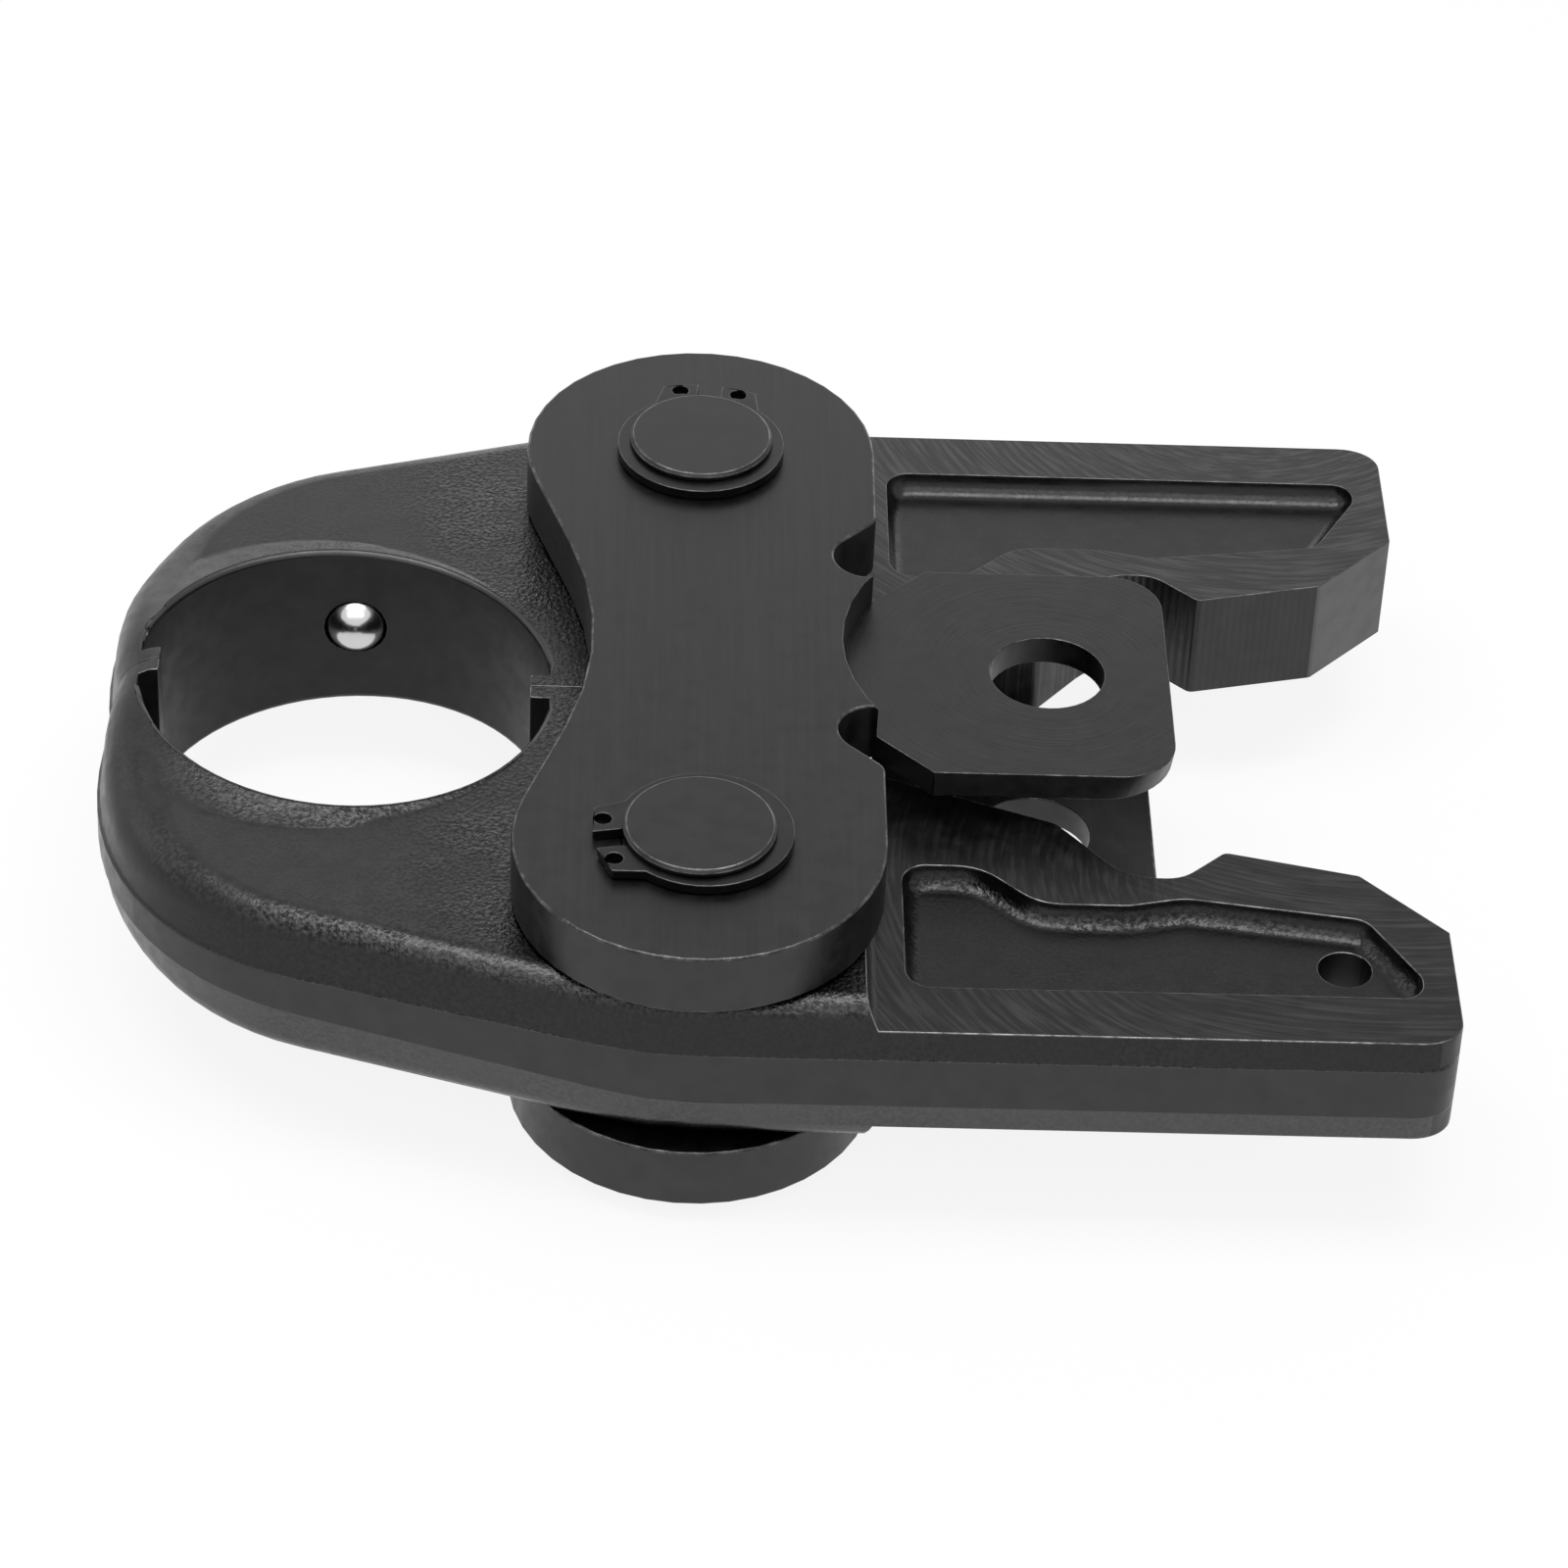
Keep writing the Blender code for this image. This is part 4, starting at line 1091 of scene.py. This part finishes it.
@dataclass
class Detents:
    """The sprung ball in each half of the bore, with the coil behind it."""

    datum: Datum
    bore_x: float = -43.0
    ball_radius: float = 4.0
    wire: float = 0.9
    coil: float = 5.5
    turns: float = 4.5
    clearance: float = 0.3
    hole_bottom: float = 41.0
    travel: float = 2.2
    rings: int = 48
    turn_points: int = 40
    ball_finish: Steel = Steel("polished_ball", 0.62, 0.19, 0.02, 0.02)
    coil_finish: Steel = Steel("spring_wire", 0.36, 0.30)

    def build(self) -> None:
        """Make both balls and their springs."""
        bright, sprung = self.ball_finish.make(), self.coil_finish.make()
        for side in Side:
            self.ball(side, bright)
            self.spring(side, sprung)

    def ball_y(self, side: Side) -> float:
        """How far a ball's middle lies from the parting plane."""
        low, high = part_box(f"{side.word}_detent_ball")
        return abs(low[1] + high[1]) / 2 / MM

    def ball(self, side: Side, material: bpy.types.Material) -> None:
        """Make a ball: radius times the cosine and sine of its latitude, turned about z.

        Args:
            side: Which half holds it.
            material: Its finish.
        """
        node = f"{side.word}_detent_ball"
        latitude = np.linspace(-math.pi / 2, math.pi / 2, self.rings + 1)
        profile = self.ball_radius * np.c_[np.cos(latitude), np.sin(latitude)]
        profile[[0, -1], 0] = 0
        centre = np.array((self.bore_x, side.value * self.ball_y(side), 0.0))
        mesh = lattice(node, self.datum.world(revolve(profile, centre, 2 * self.rings)), wrap=True)
        mesh.shade_smooth()
        piece = new_piece(f"{node}_polished", mesh, [material])
        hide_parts(node)
        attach(piece, f"{side.word}_ball")

    def spring(self, side: Side, material: bpy.types.Material) -> None:
        """Wind a coil along y, whose angle grows with y from the ball to the bottom of its hole.

        Args:
            side: Which half holds it.
            material: Its finish.
        """
        node = f"{side.word}_detent_spring"
        clear = self.clearance + self.wire / 2
        low, high = self.ball_y(side) + self.ball_radius + clear, self.hole_bottom - clear
        share = np.linspace(0, 1, round(self.turns * self.turn_points))
        angle = 2 * math.pi * self.turns * share
        aside = np.c_[np.cos(angle), 0 * angle, np.sin(angle)]
        path = self.coil / 2 * aside
        path += np.c_[0 * share + self.bore_x, side.value * (low + (high - low) * share), 0 * share]
        mesh = lattice(node, self.datum.world(tube(path, aside, self.wire, WIRE_SIDES)), wrap=True)
        soften(mesh)
        piece = new_piece(f"{node}_wire", mesh, [material])
        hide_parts(node)
        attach(piece, f"{side.word}_jaw")
        anchor = self.datum.world(np.array((self.bore_x, side.value * self.hole_bottom, 0.0)))
        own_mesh(piece)


@dataclass
class ReturnSprings:
    """The torsion spring round each pin, from its jaw half to the lower plate."""

    datum: Datum
    wire: float = 1.6
    coil: float = 22.4
    turns: float = 2.25
    top: float = -4.5
    bottom: float = -9.6
    leg: float = 4.0
    bend: float = 1.6
    coil_points: int = 160
    bend_points: int = 9
    leg_points: int = 6
    finish: Steel = Steel("return_spring_wire", 0.30, 0.32)

    def leg_line(self, end: np.ndarray, way: np.ndarray, climb: int) -> np.ndarray:
        """An upright leg and a quarter bend that ends at the coil.

        Args:
            end: Where the coil starts.
            way: The direction in which the wire leaves the coil.
            climb: 1 for a leg that stands up, -1 for one that hangs down.

        Returns:
            Points from the leg's free end to just before the coil.
        """
        bend = np.radians(np.linspace(90, 10, self.bend_points))[:, None]
        upright = np.array((0, 0, climb))
        curve = end + self.bend * (np.sin(bend) * way + (1 - np.cos(bend)) * upright)
        share = np.linspace(1, 0, self.leg_points, endpoint=False)[:, None]
        return np.vstack((curve[0] + share * self.leg * upright, curve))

    def middle_line(self) -> tuple[np.ndarray, np.ndarray]:
        """The wire's middle: an upright leg, a quarter bend, the coil, a quarter bend and a leg.

        Returns:
            The points about the pin's axis, and for each the direction from the axis.
        """
        share = np.linspace(0, 1, self.coil_points)
        angle = 2 * math.pi * self.turns * share
        out = np.c_[np.cos(angle), np.sin(angle), 0 * angle]
        height = self.top + (self.bottom - self.top) * share
        coil = self.coil / 2 * out + np.c_[0 * share, 0 * share, height]
        leaving = np.array((-math.sin(angle[-1]), math.cos(angle[-1]), 0.0))
        first = self.leg_line(coil[0], np.array((0.0, -1.0, 0.0)), 1)
        last = self.leg_line(coil[-1], leaving, -1)[::-1]
        before, after = np.broadcast_to(out[0], first.shape), np.broadcast_to(out[-1], last.shape)
        return np.vstack((first, coil, last)), np.vstack((before, out, after))

    def build(self) -> None:
        """Wind both springs round the pins."""
        material = self.finish.make()
        path, aside = self.middle_line()
        for side in Side:
            node = f"{side.word}_return_spring"
            mirror = (1, side.value, 1)
            pin = np.array((0.0, side.value * self.datum.pin_y / MM, 0.0))
            points = tube(path * mirror + pin, aside * mirror, self.wire, WIRE_SIDES)
            mesh = lattice(node, self.datum.world(points), wrap=True)
            soften(mesh)
            piece = new_piece(f"{node}_wire", mesh, [material])
            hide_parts(node)
            start = self.datum.world(pin + (0, 0, self.top))
            end = self.datum.world(pin + (0, 0, self.bottom))
            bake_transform(piece)


def stand(
    name: str, data: bpy.types.ID, axes: tuple[np.ndarray, ...], place: np.ndarray
) -> bpy.types.Object:
    """Put a camera or a lamp into the scene.

    Args:
        name: Its name.
        data: Its camera or lamp data.
        axes: The directions of its own x, y and z.
        place: Where it stands, in metres.

    Returns:
        The new object.
    """
    thing = bpy.data.objects.new(name, data)
    bpy.context.scene.collection.objects.link(thing)
    pose = np.eye(4)
    pose[:3] = np.column_stack((*axes, place))
    thing.matrix_world = Matrix(pose)
    return thing


@dataclass(frozen=True)
class Softbox:
    """A rectangular lamp of even radiance, where 1 is white, that faces the object. Lengths are metres."""

    name: str
    place: Triple
    width: float
    depth: float
    radiance: float

    def hang(self) -> None:
        """Hang the lamp, whose power is its radiance times its area times pi."""
        lamp = bpy.data.lights.new(self.name, "AREA")
        lamp.shape = "RECTANGLE"
        lamp.size, lamp.size_y = self.width, self.depth
        lamp.energy = self.radiance * math.pi * self.width * self.depth
        back = np.array(self.place) / np.linalg.norm(self.place)
        right = np.cross((0, 1, 0), back)
        right /= np.linalg.norm(right)
        stand(self.name, lamp, (right, np.cross(back, right), back), np.array(self.place))


@dataclass
class Studio:
    """A pale floor, a white surround, four softboxes and the camera of the photograph.

    Angles are degrees, the aim is in pixels of the photograph, and the floor's reach is in metres.
    """

    datum: Datum
    elevation: float = 38.25
    azimuth: float = -2.29
    roll: float = 2.84
    distance: float = 712.0
    focal_pixels: float = 5996.27
    aim_u: float = 714.62
    aim_v: float = 648.64
    floor_drop: float = 0.05
    floor_reach: float = 2.5
    floor_tone: float = 0.88
    floor_roughness: float = 0.9
    surround: float = 0.3
    shadow_share: float = 0.12
    softboxes: tuple[Softbox, ...] = (
        Softbox("overhead_softbox", (-0.05, 0.00, 0.92), 1.0, 0.34, 6.2),
        Softbox("front_softbox", (-0.05, -0.50, 0.77), 1.0, 0.38, 1.5),
        Softbox("left_softbox", (-0.86, 0.36, 0.44), 0.6, 0.35, 0.9),
        Softbox("rear_softbox", (0.10, 1.10, 0.36), 1.6, 0.60, 1.0),
    )

    def build(self) -> None:
        """Set the camera, the light and the floor."""
        bpy.context.scene.view_settings.view_transform = "Standard"
        self.camera()
        self.world()
        self.floor()
        for softbox in self.softboxes:
            softbox.hang()

    def camera(self) -> None:
        """Place the camera, whose aim passes the datum on the upper plate's face."""
        e, a, r = (math.radians(v) for v in (self.elevation, self.azimuth, self.roll))
        back = np.array((math.sin(a) * math.cos(e), -math.cos(a) * math.cos(e), math.sin(e)))
        right = np.cross(-back, (0, 0, 1))
        right /= np.linalg.norm(right)
        up = np.cross(right, -back)
        across = math.cos(r) * right + math.sin(r) * up
        upward = -math.sin(r) * right + math.cos(r) * up
        per_pixel = self.distance * MM / self.focal_pixels
        middle = PHOTO_PIXELS / 2
        place = np.array((self.datum.x, 0, self.datum.plate_top)) + self.distance * MM * back
        place += per_pixel * ((middle - self.aim_u) * across + (self.aim_v - middle) * upward)
        data = bpy.data.cameras.new("photo_camera")
        data.sensor_width = SENSOR_WIDTH
        data.lens = self.focal_pixels / PHOTO_PIXELS * SENSOR_WIDTH
        bpy.context.scene.camera = stand("photo_camera", data, (across, upward, back), place)

    def seen(self, graph: Graph) -> Socket:
        """1 for the rays of the camera, of gloss and of glass, and 0 for others."""
        rays = graph.node("LightPath").outputs
        direct = graph.math("MAXIMUM", rays["Is Camera Ray"], rays["Is Glossy Ray"])
        return graph.math("MAXIMUM", direct, rays["Is Transmission Ray"])

    def world(self) -> None:
        """White where it is seen or mirrored, and dimmer as light."""
        world = bpy.data.worlds.new("white_surround")
        world.use_nodes = True
        bpy.context.scene.world = world
        graph = Graph(world.node_tree)
        background = world.node_tree.nodes["Background"]
        background.inputs["Color"].default_value = grey(1.0)
        seen = self.seen(graph)
        strength = graph.node("MapRange", {"Value": seen, "To Min": self.surround, "To Max": 1.0})
        graph.feed(background.inputs["Strength"], strength.outputs["Result"])

    def floor(self) -> None:
        """A wide pale floor that shows white with a faint shadow."""
        reach, z = self.floor_reach, -self.floor_drop * MM
        span = np.linspace(-reach, reach, 3)
        x, y = np.meshgrid(span, span, indexing="ij")
        mesh = lattice("pale_floor", np.stack((x, y, 0 * x + z), axis=-1), closed=False)
        material = bpy.data.materials.new("pale_floor")
        material.use_nodes = True
        graph = Graph(material.node_tree)
        shader = material.node_tree.nodes["Principled BSDF"]
        shader.inputs["Base Color"].default_value = grey(self.floor_tone)
        shader.inputs["Roughness"].default_value = self.floor_roughness
        glow = graph.node("Emission", {"Color": grey(1.0), "Strength": 1.0})
        share = graph.math("MULTIPLY", self.seen(graph), 1 - self.shadow_share)
        mix = graph.node("MixShader", {0: share, 1: shader.outputs[0], 2: glow.outputs[0]})
        output = material.node_tree.nodes["Material Output"]
        graph.feed(output.inputs["Surface"], mix.outputs[0])
        new_piece("pale_floor", mesh, [material])


def main() -> None:
    """Build every piece round the frame."""
    logging.basicConfig(level=logging.INFO, format="%(name)s %(message)s")
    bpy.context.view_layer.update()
    datum = Datum.from_frame()
    Studio(datum).build()
    Plates(datum).build()
    Pins(datum).build()
    Circlips().build()
    Jaws(datum).build()
    Detents(datum).build()
    ReturnSprings(datum).build()


if __name__ == "__main__":
    main()
